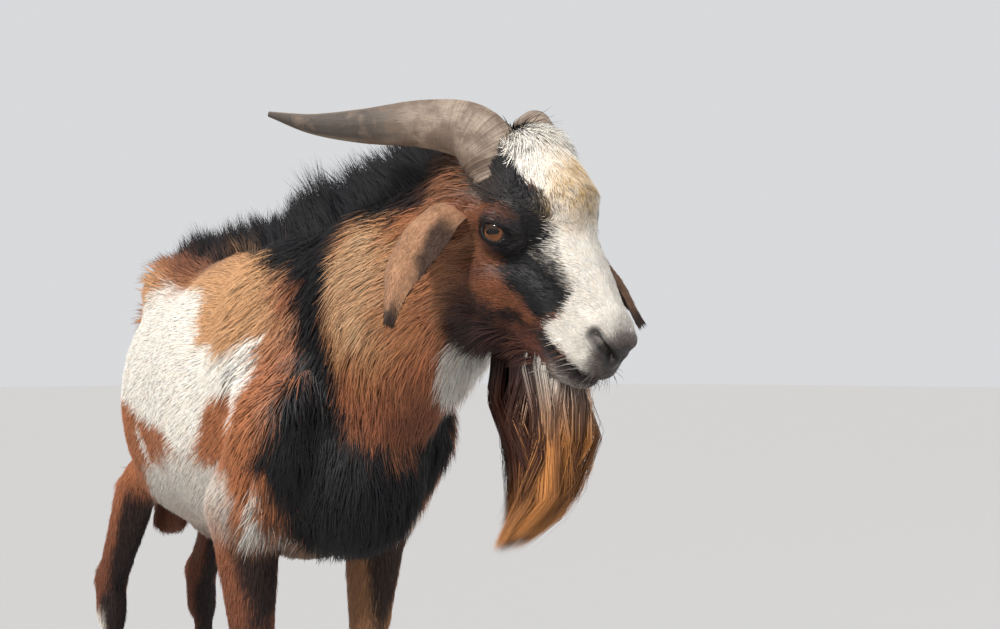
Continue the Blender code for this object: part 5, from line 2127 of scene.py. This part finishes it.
@dataclass
class Beard:
    """A full hanging beard of wavy locks, dark behind, that narrows and curls at its tip."""

    maker: HairMesh
    surface: Surface
    base: tuple = (0, -0.076, -0.058)
    line: tuple = (
        (0.002, 0.008, 0.020),
        (0.004, 0.016, -0.020),
        (0.010, 0.018, -0.065),
        (0.010, 0.014, -0.110),
        (-0.004, 0.021, -0.152),
        (-0.028, 0.038, -0.186),
    )
    count: int = 6200
    locks: int = 46
    stretches: int = 5
    samples: int = 200
    width: float = 0.00100

    def size(self, share: np.ndarray) -> tuple:
        """Return the bundle's half width fore and aft and its half depth at shares along it."""
        swell = np.sin(np.pi * (np.clip(share, 0, 1) * 0.76 + 0.23)) ** 0.9
        return 0.002 + 0.053 * swell, 0.002 + 0.027 * swell

    def strands(self, rng: np.random.Generator) -> tuple:
        """Return each strand's places along it, its fore and aft place, its lock and how far down it ends.

        Args:
            rng: the source of chance.

        Returns:
            A list of places for each step down the strands, then one value a strand of each other.
        """
        frame = level_frame(self.base)
        path = np.array(smooth_path([frame @ Vector(point) for point in self.line], self.samples))
        along = unit(np.gradient(path, axis=0))
        backward = np.array(frame.to_3x3() @ Vector((0, 1, 0)))
        wide = unit(backward - along * (along @ backward)[:, None])
        deep = np.cross(along, wide)
        angle = rng.uniform(0, 2 * np.pi, self.count)
        out = np.sqrt(rng.uniform(0.15, 1.0, self.count))
        fore, aside = out * np.cos(angle), out * np.sin(angle)
        centres = rng.uniform(-1, 1, (self.locks * 3, 2))
        centres = centres[np.hypot(*centres.T) < 0.95][: self.locks]
        gap = np.hypot(fore[:, None] - centres[None, :, 0], aside[:, None] - centres[None, :, 1])
        lock = np.argmin(gap, axis=1)
        lock_end = rng.normal(0.84, 0.13, len(centres))[lock]
        last = np.clip(lock_end + rng.normal(0, 0.07, self.count), 0.30, 1.0)
        last = np.minimum(last, 1.0 - 0.16 * np.abs(fore))
        swing = rng.uniform(0.10, 0.30, (len(centres), 2))[lock]
        turn = rng.uniform(0, 2 * np.pi, (len(centres), 2))[lock]
        stray = rng.normal(0, 0.0022, (self.count, 3))
        rows = []
        for step in range(self.stretches + 1):
            t = step / self.stretches
            share = 0.02 + (last - 0.02) * t
            gather = 0.62 * t**1.1
            wave = swing * np.sin(7.5 * t + turn) * t**0.6
            x = fore * (1 - gather) + centres[lock, 0] * gather + wave[:, 0]
            y = aside * (1 - gather) + centres[lock, 1] * gather + wave[:, 1]
            index = np.clip((share * (self.samples - 1)).astype(int), 0, self.samples - 1)
            wide_half, deep_half = self.size(share)
            spot = path[index] + wide[index] * (x * wide_half)[:, None]
            spot = spot + deep[index] * (y * deep_half)[:, None]
            rows.append(spot + (stray + rng.normal(0, 0.0006, spot.shape)) * t)
        return rows, fore, lock, last

    def tones(self, share: np.ndarray, dark_share: np.ndarray) -> np.ndarray:
        """Return the beard's colours: white to gold before, maroon and slate behind, orange at the tip.

        Args:
            share: how far down each point is.
            dark_share: how much each strand belongs to the dark back half.

        Returns:
            Linear colours, one a row.
        """
        white, gold, maroon, slate = (hue.linear for hue in (Hue.WHITE, Hue.ORANGE, Hue.MAROON, Hue.SLATE))
        pale = white * 0.9 + (gold - white * 0.9) * ease(share, 0.16, 0.48)
        dark = slate * 0.5 + (maroon * 0.5 - slate * 0.5) * ease(share, 0.10, 0.36)
        dark = dark + (gold * 0.8 - dark) * ease(share, 0.66, 0.96)
        return pale + (dark - pale) * dark_share

    def build(self) -> list:
        """Return the beard's pieces, already in the model's frame.

        Returns:
            The pieces as objects.
        """
        rng = np.random.default_rng(201)
        rows, fore, lock, last = self.strands(rng)
        tone = (rng.normal(1.0, 0.14, self.count) * rng.uniform(0.7, 1.2, self.locks)[lock])[:, None]
        edge = fore + 0.16 * rng.normal(0, 1, self.count) + 0.14 * np.sin(lock * 2.3)
        dark_share = np.maximum(ease(edge, -0.42, -0.10), ease(-edge, 0.86, 1.0) * 0.8)[:, None]
        points, colours, places, facings = [], [], [], []
        flat = self.surface.beside(rows[0])
        for step, spot in enumerate(rows):
            t = step / self.stretches
            share = (0.02 + (last - 0.02) * t)[:, None]
            colour = np.clip(self.tones(share, dark_share) * tone, 0, 0.85)
            way = unit(rows[min(step + 1, self.stretches)] - rows[max(step - 1, 0)])
            lateral = unit(np.cross(way, spot - rows[step].mean(0)))
            thick = np.cross(lateral, way)
            half = self.width / 2 * (1 - t**3) * (0.85 + 0.3 * np.sin(3 * t + lock))[:, None]
            ring = ((-1, 0), (1, 0), (0, 0.8)) if step < self.stretches else ((0, 0),)
            for aside, above in ring:
                points.append(spot + lateral * half * aside + thick * half * above)
                colours.append(colour)
                places.append(flat + self.maker.patch / 2 * np.array((aside, 2 * t - 1)))
                facings.append(unit(thick + lateral * 0.5 * aside))
        rows = tuple(np.stack(values, axis=1) for values in (points, colours, places, facings))
        return self.maker.pieces("beard_locks", self.stretches, *rows)


@dataclass
class Eye:
    """One eyeball with an amber iris and a level pupil, and the dark rim of its lids."""

    side: Side
    cornea: float = 0.0008
    rim: float = 0.00085

    def centre(self) -> Vector:
        """Return the middle of the eyeball in the plan's frame."""
        return head_frame() @ (EYE_AT * Vector((self.side.value, 1, 1)))

    def ball(self) -> bpy.types.Object:
        """Return the eyeball, with each point's place against the line of sight stored on it.

        Returns:
            The eyeball as an object.
        """
        shape = bmesh.new()
        bmesh.ops.create_uvsphere(shape, u_segments=64, v_segments=48, radius=EYE_RADIUS)
        places = []
        for vert in shape.verts:
            places.append(tuple(vert.co))
            ahead = max(vert.co.z / EYE_RADIUS - 0.80, 0.0) / 0.20
            vert.co += vert.co.normalized() * self.cornea * ahead * (2 - ahead)
        sight = (head_frame().to_3x3() @ (EYE_GAZE * Vector((self.side.value, 1, 1)))).normalized()
        level = UP.cross(sight).normalized()
        turn = Matrix((level, sight.cross(level), sight)).transposed().to_4x4()
        bmesh.ops.transform(shape, matrix=Matrix.Translation(self.centre()) @ turn, verts=shape.verts)
        ball = from_bmesh(f"eyeball_{self.side.word}", shape)
        store(ball.data, SIGHT, np.array(places))
        return ball

    def almond(self, angle: float, lift: float) -> Vector:
        """Return a point of the edge of the lids.

        Args:
            angle: way round the opening.
            lift: how far outside the eyeball the point is.

        Returns:
            The point in the plan's frame.
        """
        wide, tall = EYE_OPENING
        across = wide * math.cos(angle)
        high = tall * math.sin(angle)
        sight, slit, upward = eye_axes()
        out = math.sqrt(max((EYE_RADIUS + lift) ** 2 - across**2 - high**2, 0.0))
        place = EYE_AT + sight * out + slit * across + upward * high
        return head_frame() @ (place * Vector((self.side.value, 1, 1)))

    def lids(self) -> bpy.types.Object:
        """Return the wet dark rim that runs round the opening of the eye.

        Returns:
            The rim as an object.
        """
        steps, around = 72, 10
        shape = bmesh.new()
        rings = []
        middle = self.centre()
        for index in range(steps):
            angle = 2 * math.pi * index / steps
            spot = self.almond(angle, 0.0006)
            along = (self.almond(angle + 0.05, 0.0006) - self.almond(angle - 0.05, 0.0006)).normalized()
            out = (spot - middle).normalized()
            aside = along.cross(out)
            ring = bmesh.ops.create_circle(shape, segments=around, radius=1.0)["verts"]
            for step, vert in enumerate(ring):
                turn = 2 * math.pi * step / around
                vert.co = spot + (out * math.cos(turn) + aside * math.sin(turn)) * self.rim
            rings.append(ring)
        walled(shape, rings, closed=True)
        bmesh.ops.recalc_face_normals(shape, faces=shape.faces)
        return from_bmesh(f"lids_{self.side.word}", shape)

    def lashes(self, maker: HairMesh, surface: Surface) -> list:
        """Return the lashes of the upper lid, in the model's frame.

        Args:
            maker: what turns hairs into pieces.
            surface: the skin about them.

        Returns:
            The pieces as objects.
        """
        rng = np.random.default_rng(300 + self.side.value)
        count = 46
        roots, outs = [], []
        middle = self.centre()
        for angle in np.linspace(0.18 * math.pi, 0.92 * math.pi, count):
            spot = self.almond(angle, 0.0014)
            roots.append(spot)
            outs.append((spot - middle).normalized())
        roots, outs = np.array(roots), np.array(outs)
        rise = np.array(head_frame().to_3x3() @ Vector((0, 0, 1)))
        start = unit(outs + rise * 0.5 + rng.normal(0, 0.12, roots.shape))
        end = unit(outs * 0.5 + np.array((0, 0, -0.35)) + rise * 0.35 + rng.normal(0, 0.15, roots.shape))
        lengths = rng.uniform(0.006, 0.010, count)[:, None] / 2
        knees = roots + start * lengths
        colours = np.tile(Hue.BLACK.linear, (count, 1))
        widths = np.full(count, 0.00045)
        hairs = Hairs(roots, knees, knees + end * lengths, outs, widths, colours, surface.beside(roots))
        return maker.make(f"lashes_{self.side.word}", hairs, 3, (1.0, 1.2))


@dataclass
class Foot:
    """One foot: two claws, flat underneath and drawn out to a blunt toe, and two dewclaws."""

    side: Side
    hind: bool
    height: float = 0.038
    length: float = 0.062
    claw_width: float = 0.023
    cleft: float = 0.004

    @property
    def word(self) -> str:
        """Return the foot's words in node names."""
        return f"{'hind' if self.hind else 'front'}_{self.side.word}"

    def place(self) -> Vector:
        """Return the middle of the foot on the ground, in the plan's frame."""
        x, y, _ = LEG_JOINTS[(self.side, self.hind)][3]
        return Vector((self.side.value * x, y, 0))

    def claw(self, inner: bool) -> bpy.types.Object:
        """Return one claw in the plan's frame.

        Args:
            inner: whether this is the claw nearer the other legs.

        Returns:
            The claw as an object.
        """
        outward = self.side.value * (-1 if inner else 1)
        foot = self.place()
        steps, layers = 40, 14
        shape = bmesh.new()
        rings = []
        for layer in range(layers + 1):
            up = layer / layers
            length = 1.0 - 0.30 * up**1.1
            width = 1.0 - 0.18 * up**1.2
            lean = 0.18 * up
            ring_step = 0.012 * math.sin(9 * math.pi * up)
            squash = 1.0 - 0.03 * (1 - min(up * 8, 1.0))
            ring = []
            for step in range(steps):
                angle = 2 * math.pi * step / steps
                toe = 1.0 + 0.10 * math.cos(angle)
                along = -math.cos(angle) * self.length / 2 * (length + ring_step * 0.5) * toe * squash
                along += lean * self.length / 2
                bulge = math.sin(angle)
                swell = max(bulge, 0.0) ** 0.75 * self.claw_width * (width + ring_step) * squash
                across = self.cleft / 2 + swell - 0.0006 * max(-bulge, 0.0)
                ring.append(shape.verts.new(foot + Vector((outward * across, along, up * self.height))))
            rings.append(ring)
        walled(shape, rings)
        for ring in (rings[0], rings[-1]):
            bmesh.ops.poke(shape, faces=[shape.faces.new(ring)])
        bmesh.ops.recalc_face_normals(shape, faces=shape.faces)
        return from_bmesh(f"claw_{self.word}_{'inner' if inner else 'outer'}", shape)

    def dewclaws(self) -> bpy.types.Object:
        """Return the two small claws behind the fetlock.

        Returns:
            Both as one object.
        """
        fetlock = Vector(LEG_JOINTS[(self.side, self.hind)][2]) * Vector((self.side.value, 1, 1))
        shape = bmesh.new()
        for aside in (-1, 1):
            ball = bmesh.ops.create_uvsphere(shape, u_segments=16, v_segments=12, radius=1.0)["verts"]
            bmesh.ops.scale(shape, vec=(0.0055, 0.0060, 0.0095), verts=ball)
            tilt = Matrix.Rotation(math.radians(-28), 3, "X")
            bmesh.ops.rotate(shape, matrix=tilt, verts=ball)
            bmesh.ops.translate(shape, vec=fetlock + Vector((aside * 0.0095, 0.0175, -0.012)), verts=ball)
        return from_bmesh(f"dewclaws_{self.word}", shape)


class Wire:
    """A shader socket that can be reckoned with."""

    def __init__(self, finish: "Finish", socket: bpy.types.NodeSocket) -> None:
        """Keep the socket and the finish that it belongs to."""
        self.finish = finish
        self.socket = socket

    def reckon(self, operation: str, *others: object) -> "Wire":
        """Return the result of a Math node on this value and others."""
        return self.finish.add("ShaderNodeMath", {"operation": operation}, (self, *others))

    def __add__(self, other: object) -> "Wire":
        """Return the sum."""
        return self.reckon("ADD", other)

    __radd__ = __add__

    def __mul__(self, other: object) -> "Wire":
        """Return the product."""
        return self.reckon("MULTIPLY", other)

    __rmul__ = __mul__

    def __sub__(self, other: object) -> "Wire":
        """Return the difference."""
        return self.reckon("SUBTRACT", other)

    def __rsub__(self, other: object) -> "Wire":
        """Return the difference the other way round."""
        return self.finish.add("ShaderNodeMath", {"operation": "SUBTRACT"}, (other, self))

    def __truediv__(self, other: object) -> "Wire":
        """Return the quotient."""
        return self.reckon("DIVIDE", other)

    def step(self, low: float, high: float) -> "Wire":
        """Return a smooth step from 0 at low to 1 at high.

        Args:
            low, high: where the step begins and where it is full.

        Returns:
            The step as a wire.
        """
        settings = {"interpolation_type": "SMOOTHSTEP"}
        values = {"Value": self, "From Min": low, "From Max": high}
        return self.finish.add("ShaderNodeMapRange", settings, values)


class Finish:
    """A material and the nodes that make it."""

    def __init__(self, name: str, **constants: object) -> None:
        """Start the material with its shader.

        Args:
            name: name of the material.
            constants: values of shader sockets that are the same all over, by name with _ for a space.
        """
        self.material = bpy.data.materials.new(name)
        self.material.use_nodes = True
        self.tree = self.material.node_tree
        self.shader = self.tree.nodes["Principled BSDF"]
        for word, value in constants.items():
            self.shader.inputs[word.replace("_", " ").title().replace("Ior", "IOR")].default_value = value

    def add(self, kind: str, settings: dict | None = None, values: object = (), output: object = 0) -> Wire:
        """Return an output of a new node.

        Args:
            kind: type of the node.
            settings: its settings by name.
            values: values or wires of its sockets, in order or by name.
            output: which output is wanted.

        Returns:
            The wanted output.
        """
        node = self.tree.nodes.new(kind)
        for word, value in (settings or {}).items():
            setattr(node, word, value)
        pairs = values.items() if isinstance(values, dict) else enumerate(values)
        for key, value in pairs:
            if isinstance(value, Wire):
                self.tree.links.new(value.socket, node.inputs[key])
            elif value is not None:
                node.inputs[key].default_value = value
        return Wire(self, node.outputs[output])

    def stored(self, name: str, output: str) -> Wire:
        """Return what the mesh stores under a name."""
        return self.add("ShaderNodeAttribute", {"attribute_name": name}, output=output)

    def place(self) -> Wire:
        """Return the place on the object."""
        return self.add("ShaderNodeTexCoord", output="Object")

    def mixed(self, share: object, first: object, second: object, blend: str = "MIX") -> Wire:
        """Return two colours mixed.

        Args:
            share: how much of the second.
            first, second: colours or wires.
            blend: how the second acts on the first.

        Returns:
            The mixed colour.
        """
        settings = {"data_type": "RGBA", "blend_type": blend}
        rgba = [value if isinstance(value, Wire) else (*value, 1.0) for value in (first, second)]
        return self.add("ShaderNodeMix", settings, {0: share, 6: rgba[0], 7: rgba[1]}, 2)

    def noise(self, place: Wire, scale: float, detail: float = 3.0, rough: float = 0.55) -> Wire:
        """Return a cloudy value about one half."""
        values = {"Vector": place, "Scale": scale, "Detail": detail, "Roughness": rough}
        return self.add("ShaderNodeTexNoise", None, values)

    def feed(self, **wires: Wire) -> None:
        """Lead wires to the shader's sockets."""
        for word, wire in wires.items():
            self.tree.links.new(wire.socket, self.shader.inputs[word.replace("_", " ").title()])

    def bump(self, height: Wire, distance: float, strength: float = 1.0) -> None:
        """Raise the surface by a height.

        Args:
            height: the height as a share of the distance.
            distance: how far a height of one stands out.
            strength: how fully it shows.
        """
        values = {"Height": height, "Distance": distance, "Strength": strength}
        self.feed(normal=self.add("ShaderNodeBump", None, values, "Normal"))


def combed_place(finish: Finish, stretch: float) -> Wire:
    """Return the place on a piece, drawn out along the lie of its coat.

    Args:
        finish: the finish that reads it.
        stretch: how much of the place along the lie is taken away.

    Returns:
        The drawn-out place.
    """
    place = finish.place()
    lie = finish.stored(LIE, "Vector")
    along = finish.add("ShaderNodeVectorMath", {"operation": "DOT_PRODUCT"}, (place, lie), "Value")
    scaled = finish.add("ShaderNodeVectorMath", {"operation": "SCALE"}, {0: lie, "Scale": along * stretch})
    return finish.add("ShaderNodeVectorMath", {"operation": "SUBTRACT"}, (place, scaled))


def skin_finish() -> bpy.types.Material:
    """Return the skin's finish: fine flat hair over it, and damp pebbled hide where it is bare.

    Returns:
        The material.
    """
    finish = Finish("hide", roughness=0.62, specular_ior_level=0.20)
    tint = finish.stored(TINT, "Color")
    bare = finish.stored(BARE, "Fac")
    combed = combed_place(finish, 0.92)
    fine = finish.noise(combed, 1500.0, 2.0)
    strands = finish.noise(combed, 600.0, 3.0)
    pebbles = finish.add("ShaderNodeTexVoronoi", None, {"Vector": finish.place(), "Scale": 620.0}, "Distance")
    hair = fine * 0.5 + strands * 0.5
    shadow = finish.mixed(hair.step(0.30, 0.72), (0.78, 0.76, 0.74), (1.08, 1.07, 1.06))
    colour = finish.mixed(1.0 - bare, tint, shadow, "MULTIPLY")
    finish.feed(base_color=colour, roughness=0.66 - bare * 0.28)
    finish.bump(hair * (1.0 - bare) + (pebbles * bare) * 0.7, 0.0008, 0.8)
    return finish.material


def hair_finish() -> bpy.types.Material:
    """Return the finish of the coat's hairs, each in its own colour with a soft gloss.

    Returns:
        The material.
    """
    finish = Finish("hair", roughness=0.46, specular_ior_level=0.26)
    tint = finish.stored(TINT, "Color")
    patchy = finish.noise(finish.place(), 260.0, 2.0)
    cover = finish.mixed(patchy.step(0.3, 0.7), (0.92, 0.92, 0.92), (1.06, 1.06, 1.05))
    colour = finish.mixed(1.0, tint, cover, "MULTIPLY")
    finish.feed(base_color=colour, roughness=0.40 + patchy * 0.18)
    return finish.material


def horn_finish() -> bpy.types.Material:
    """Return the horn's finish: grey-brown rings with dry fibres, darkened beneath towards the tip by dirt
    and painted shade.

    Returns:
        The material.
    """
    finish = Finish("horn", roughness=0.5, specular_ior_level=0.4)
    flat = finish.add("ShaderNodeUVMap", {"uv_map": "along"})
    parts = finish.add("ShaderNodeSeparateXYZ", None, (flat,), "Y")
    around = finish.add("ShaderNodeSeparateXYZ", None, (flat,), "X")
    place = finish.place()
    cloudy = finish.noise(place, 60.0, 4.0)
    stretched = finish.add("ShaderNodeCombineXYZ", None, {"X": around * 90.0, "Y": parts * 14.0})
    fibres = finish.noise(stretched, 1.6, 4.0, 0.65)
    rings = finish.add("ShaderNodeCombineXYZ", None, {"X": around * 2.5, "Y": parts * 130.0})
    ringed = finish.noise(rings, 1.0, 3.0, 0.6)
    warm = finish.mixed(cloudy.step(0.35, 0.65), shade(116, 98, 84), shade(160, 143, 126))
    near_root = 1.0 - parts.step(0.10, 0.60)
    lined = finish.mixed(ringed.step(0.42, 0.60) * near_root * 0.7, warm, shade(84, 70, 60))
    streaked = finish.mixed(fibres.step(0.50, 0.72) * 0.6, lined, shade(84, 72, 64))
    # The underside towards the tip is darkened, partly dirt and partly painted shade
    under = (around - 0.25).step(0.05, 0.20) * (1.0 - (around - 0.25).step(0.42, 0.56))
    dirt_and_shade = under * parts.step(0.45, 0.66) * cloudy.step(0.28, 0.55)
    soiled_and_shaded = finish.mixed(dirt_and_shade * 0.85, streaked, shade(44, 38, 36))
    finish.feed(base_color=soiled_and_shaded, roughness=0.42 + fibres * 0.28)
    finish.bump(fibres * 0.5 + ringed * (1.0 - parts) * 0.8, 0.0009, 0.9)
    return finish.material


def hoof_finish() -> bpy.types.Material:
    """Return the hooves' finish: dark horn with growth lines and dusty edges.

    Returns:
        The material.
    """
    finish = Finish("hoof", roughness=0.55)
    place = finish.place()
    height = finish.add("ShaderNodeSeparateXYZ", None, (place,), "Z")
    cloudy = finish.noise(place, 90.0, 4.0)
    layered = finish.add("ShaderNodeCombineXYZ", None, {"Z": height * 420.0, "X": cloudy * 0.6})
    lines = finish.noise(layered, 1.0, 2.0)
    worn = (1.0 - height.step(0.0, 0.010)) * cloudy.step(0.35, 0.6)
    dark = finish.mixed(lines.step(0.40, 0.62), shade(42, 36, 34), shade(80, 70, 62))
    dusty = finish.mixed(worn * 0.6, dark, shade(150, 136, 118))
    finish.feed(base_color=dusty, roughness=0.5 + cloudy * 0.25)
    finish.bump(lines * 0.7 + cloudy * 0.3, 0.0006, 0.8)
    return finish.material


def eye_finish() -> bpy.types.Material:
    """Return the eyeball's finish: an amber iris with rays round a level pupil, under a clear wet coat.

    Returns:
        The material.
    """
    finish = Finish("eye", roughness=0.45, coat_weight=0.5, coat_roughness=0.03, specular_ior_level=0.1)
    sight = finish.stored(SIGHT, "Vector")
    x, y, z = (finish.add("ShaderNodeSeparateXYZ", None, (sight,), word) for word in "XYZ")
    radius = (x * x + y * y).reckon("SQRT") / 0.0092
    ray_place = finish.add("ShaderNodeVectorMath", {"operation": "NORMALIZE"}, (
        finish.add("ShaderNodeCombineXYZ", None, {"X": x, "Y": y}),))
    rays = finish.noise(ray_place, 9.0, 4.0, 0.7)
    amber = finish.mixed(rays.step(0.32, 0.68), shade(84, 46, 24), shade(146, 90, 48))
    iris = finish.mixed(radius.step(0.40, 0.72), finish.mixed(0.55, amber, shade(66, 34, 16)), amber)
    rimmed = finish.mixed(radius.step(0.74, 0.98), iris, shade(24, 15, 11))
    # Painted shadow of the upper lid: the top of the iris is darkened
    shaded = finish.mixed(y.step(-0.0004, 0.0046) * 0.90, rimmed, shade(18, 10, 7))
    wide = (x.reckon("ABSOLUTE") / 0.0064).reckon("POWER", 3.0)
    tall = ((y - 0.0008).reckon("ABSOLUTE") / 0.0024).reckon("POWER", 2.0)
    pupil = 1.0 - (wide + tall).step(0.55, 1.30)
    behind = 1.0 - z.step(0.0, 0.002)
    dark = finish.mixed(pupil.reckon("MAXIMUM", behind), shaded, shade(8, 7, 8))
    finish.feed(base_color=dark)
    return finish.material


def lid_finish() -> bpy.types.Material:
    """Return the finish of the wet rim of the lids.

    Returns:
        The material.
    """
    finish = Finish("lid", roughness=0.40, specular_ior_level=0.25)
    cloudy = finish.noise(finish.place(), 900.0, 3.0)
    wet = finish.mixed(cloudy, shade(12, 9, 9), shade(30, 22, 21))
    finish.feed(base_color=wet, roughness=0.38 + cloudy * 0.2)
    finish.bump(cloudy, 0.0002)
    return finish.material


def ear_finish() -> bpy.types.Material:
    """Return the ear's finish: thin velvet hair over veined skin.

    Returns:
        The material.
    """
    finish = Finish("ear", roughness=0.75, specular_ior_level=0.2, sheen_weight=0.25, sheen_roughness=0.5)
    tint = finish.stored(TINT, "Color")
    place = finish.place()
    velvet = finish.noise(place, 1600.0, 2.0)
    veins = finish.noise(place, 70.0, 4.0)
    cover = finish.mixed(velvet * 0.6 + veins * 0.4, (0.66, 0.64, 0.63), (1.22, 1.18, 1.16))
    colour = finish.mixed(1.0, tint, cover, "MULTIPLY")
    finish.feed(base_color=colour, roughness=0.66 + velvet * 0.2)
    finish.bump(velvet * 0.4 + veins * 0.6, 0.0009, 0.7)
    return finish.material


def floor_finish() -> bpy.types.Material:
    """Return the plain pale finish of the floor."""
    return Finish("floor", roughness=0.85, base_color=(0.44, 0.44, 0.44, 1.0)).material


@dataclass
class Studio:
    """The floor, the lights and the camera."""

    eye: Vector
    camera_offset: Vector = field(default_factory=lambda: Vector((-0.712, -1.057, -0.080)))
    azimuth: float = math.radians(-34.0)
    pitch: float = math.radians(0.4)
    lens: float = 54.0

    def light(self, name: str, place: tuple, aim: tuple, size: float, power: float, colour: tuple) -> None:
        """Add a square soft light.

        Args:
            name: name of the light.
            place: where it hangs.
            aim: what it points at.
            size: length of its sides.
            power: its power in watts.
            colour: its colour.
        """
        lamp = bpy.data.lights.new(name, "AREA")
        lamp.size = size
        lamp.energy = power
        lamp.color = colour
        holder = linked(name, lamp)
        holder.location = place
        holder.rotation_euler = (Vector(aim) - Vector(place)).to_track_quat("-Z", "Y").to_euler()

    def build(self) -> None:
        """Add floor, backdrop light, lamps and camera."""
        shape = bmesh.new()
        bmesh.ops.create_circle(shape, cap_ends=True, segments=96, radius=14.0)
        floor = from_bmesh("floor", shape)
        floor.data.materials.append(floor_finish())
        sun = bpy.data.lights.new("key", "SUN")
        sun.energy = 3.55
        sun.angle = math.radians(9.0)
        sun.color = (1.0, 0.965, 0.92)
        holder = linked("key", sun)
        holder.rotation_euler = Vector((0.74, 0.30, -0.74)).to_track_quat("-Z", "Y").to_euler()
        self.light("fill", (2.4, -3.0, 1.8), (0, -0.1, 0.5), 2.6, 22.0, (0.92, 0.95, 1.0))
        world = bpy.data.worlds.new("studio")
        world.use_nodes = True
        backdrop = world.node_tree.nodes["Background"]
        backdrop.inputs["Color"].default_value = (0.84, 0.85, 0.87, 1.0)
        backdrop.inputs["Strength"].default_value = 0.82
        bpy.context.scene.world = world
        bpy.context.scene.view_settings.view_transform = "Standard"
        lens = bpy.data.cameras.new("camera")
        lens.lens = self.lens
        lens.sensor_width = 36.0
        lens.clip_start = 0.01
        camera = linked("camera", lens)
        camera.location = self.eye + self.camera_offset
        camera.rotation_euler = (math.pi / 2 + self.pitch, 0.0, self.azimuth)
        bpy.context.scene.camera = camera


class Goat:
    """The whole goat: builds each piece, dresses it, and hides the solids that it stands for."""

    flesh = (
        "head", "neck", "trunk", "tail", "scrotum",
        "leg_front_right", "leg_front_left", "leg_hind_right", "leg_hind_left",
    )

    def __init__(self) -> None:
        """Find the move from the plan to the solid model and make the shared finishes."""
        low, high = (Vector(corner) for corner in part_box("eye_right"))
        self.eye = (low + high) / 2
        self.shift = self.eye - Eye(Side.RIGHT).centre()
        self.hair = hair_finish()
        self.maker = HairMesh(self.hair, self.shift)
        LOG.info("plan moved by %s", tuple(round(v, 4) for v in self.shift))

    def place(self, piece: bpy.types.Object, finish: bpy.types.Material, slot: str, *nodes: str) -> None:
        """Move a piece from the plan to the model, dress it and hang it on the body.

        Args:
            piece: the piece.
            finish: its material.
            slot: not used; it is only handed on to keep.
            nodes: the solids that it stands for.
        """
        piece.data.transform(Matrix.Translation(self.shift))
        piece.data.materials.clear()
        piece.data.materials.append(finish)
        self.keep(piece, slot, *nodes)

    def keep(self, piece: bpy.types.Object, slot: str, *nodes: str) -> None:
        """Hang a finished piece on the body.

        Args:
            piece: the piece.
            slot: not used.
            nodes: the solids that it stands for.
        """
        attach(piece, BODY)
        if nodes:
            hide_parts(*nodes)
        LOG.info("%s: %d faces", piece.name, len(piece.data.polygons))

    def build(self) -> None:
        """Build every piece of the goat."""
        anatomy = Anatomy()
        markings = Markings(anatomy)
        skin, surface = Skin(anatomy, markings).build()
        coat = Coat(anatomy, markings, surface, self.maker)
        for piece in coat.build():
            self.keep(piece, "coat")
        self.place(skin, skin_finish(), "coat", *self.flesh)
        self.beard(surface)
        horn, ear, eye, lid, hoof = horn_finish(), ear_finish(), eye_finish(), lid_finish(), hoof_finish()
        for side in Side:
            self.place(Horn(side).build(), horn, "horn", f"horn_{side.word}")
            leaf = Ear(side)
            made = leaf.build()
            for piece in leaf.hairs(made, self.maker):
                self.keep(piece, "ear")
            self.place(made, ear, "ear", f"ear_{side.word}")
            sight = Eye(side)
            self.place(sight.ball(), eye, "eye", f"eye_{side.word}")
            self.place(sight.lids(), lid, "coat")
            for piece in sight.lashes(self.maker, surface):
                self.keep(piece, "coat")
            for hind in (False, True):
                foot = Foot(side, hind)
                for inner in (False, True):
                    word = "inner" if inner else "outer"
                    self.place(foot.claw(inner), hoof, "hoof", f"hoof_{foot.word}_{word}")
                self.place(foot.dewclaws(), hoof, "hoof")

    def beard(self, surface: Surface) -> None:
        """Build the beard's locks, the first of which stands for the solid.

        Args:
            surface: the skin that they hang from.
        """
        for number, piece in enumerate(Beard(self.maker, surface).build()):
            self.keep(piece, "beard", *(("beard",) if number == 0 else ()))


def main() -> None:
    """Build the goat and its studio."""
    logging.basicConfig(level=logging.INFO, format="%(name)s: %(message)s")
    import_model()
    goat = Goat()
    Studio(goat.eye).build()
    goat.build()


if __name__ == "__main__":
    main()
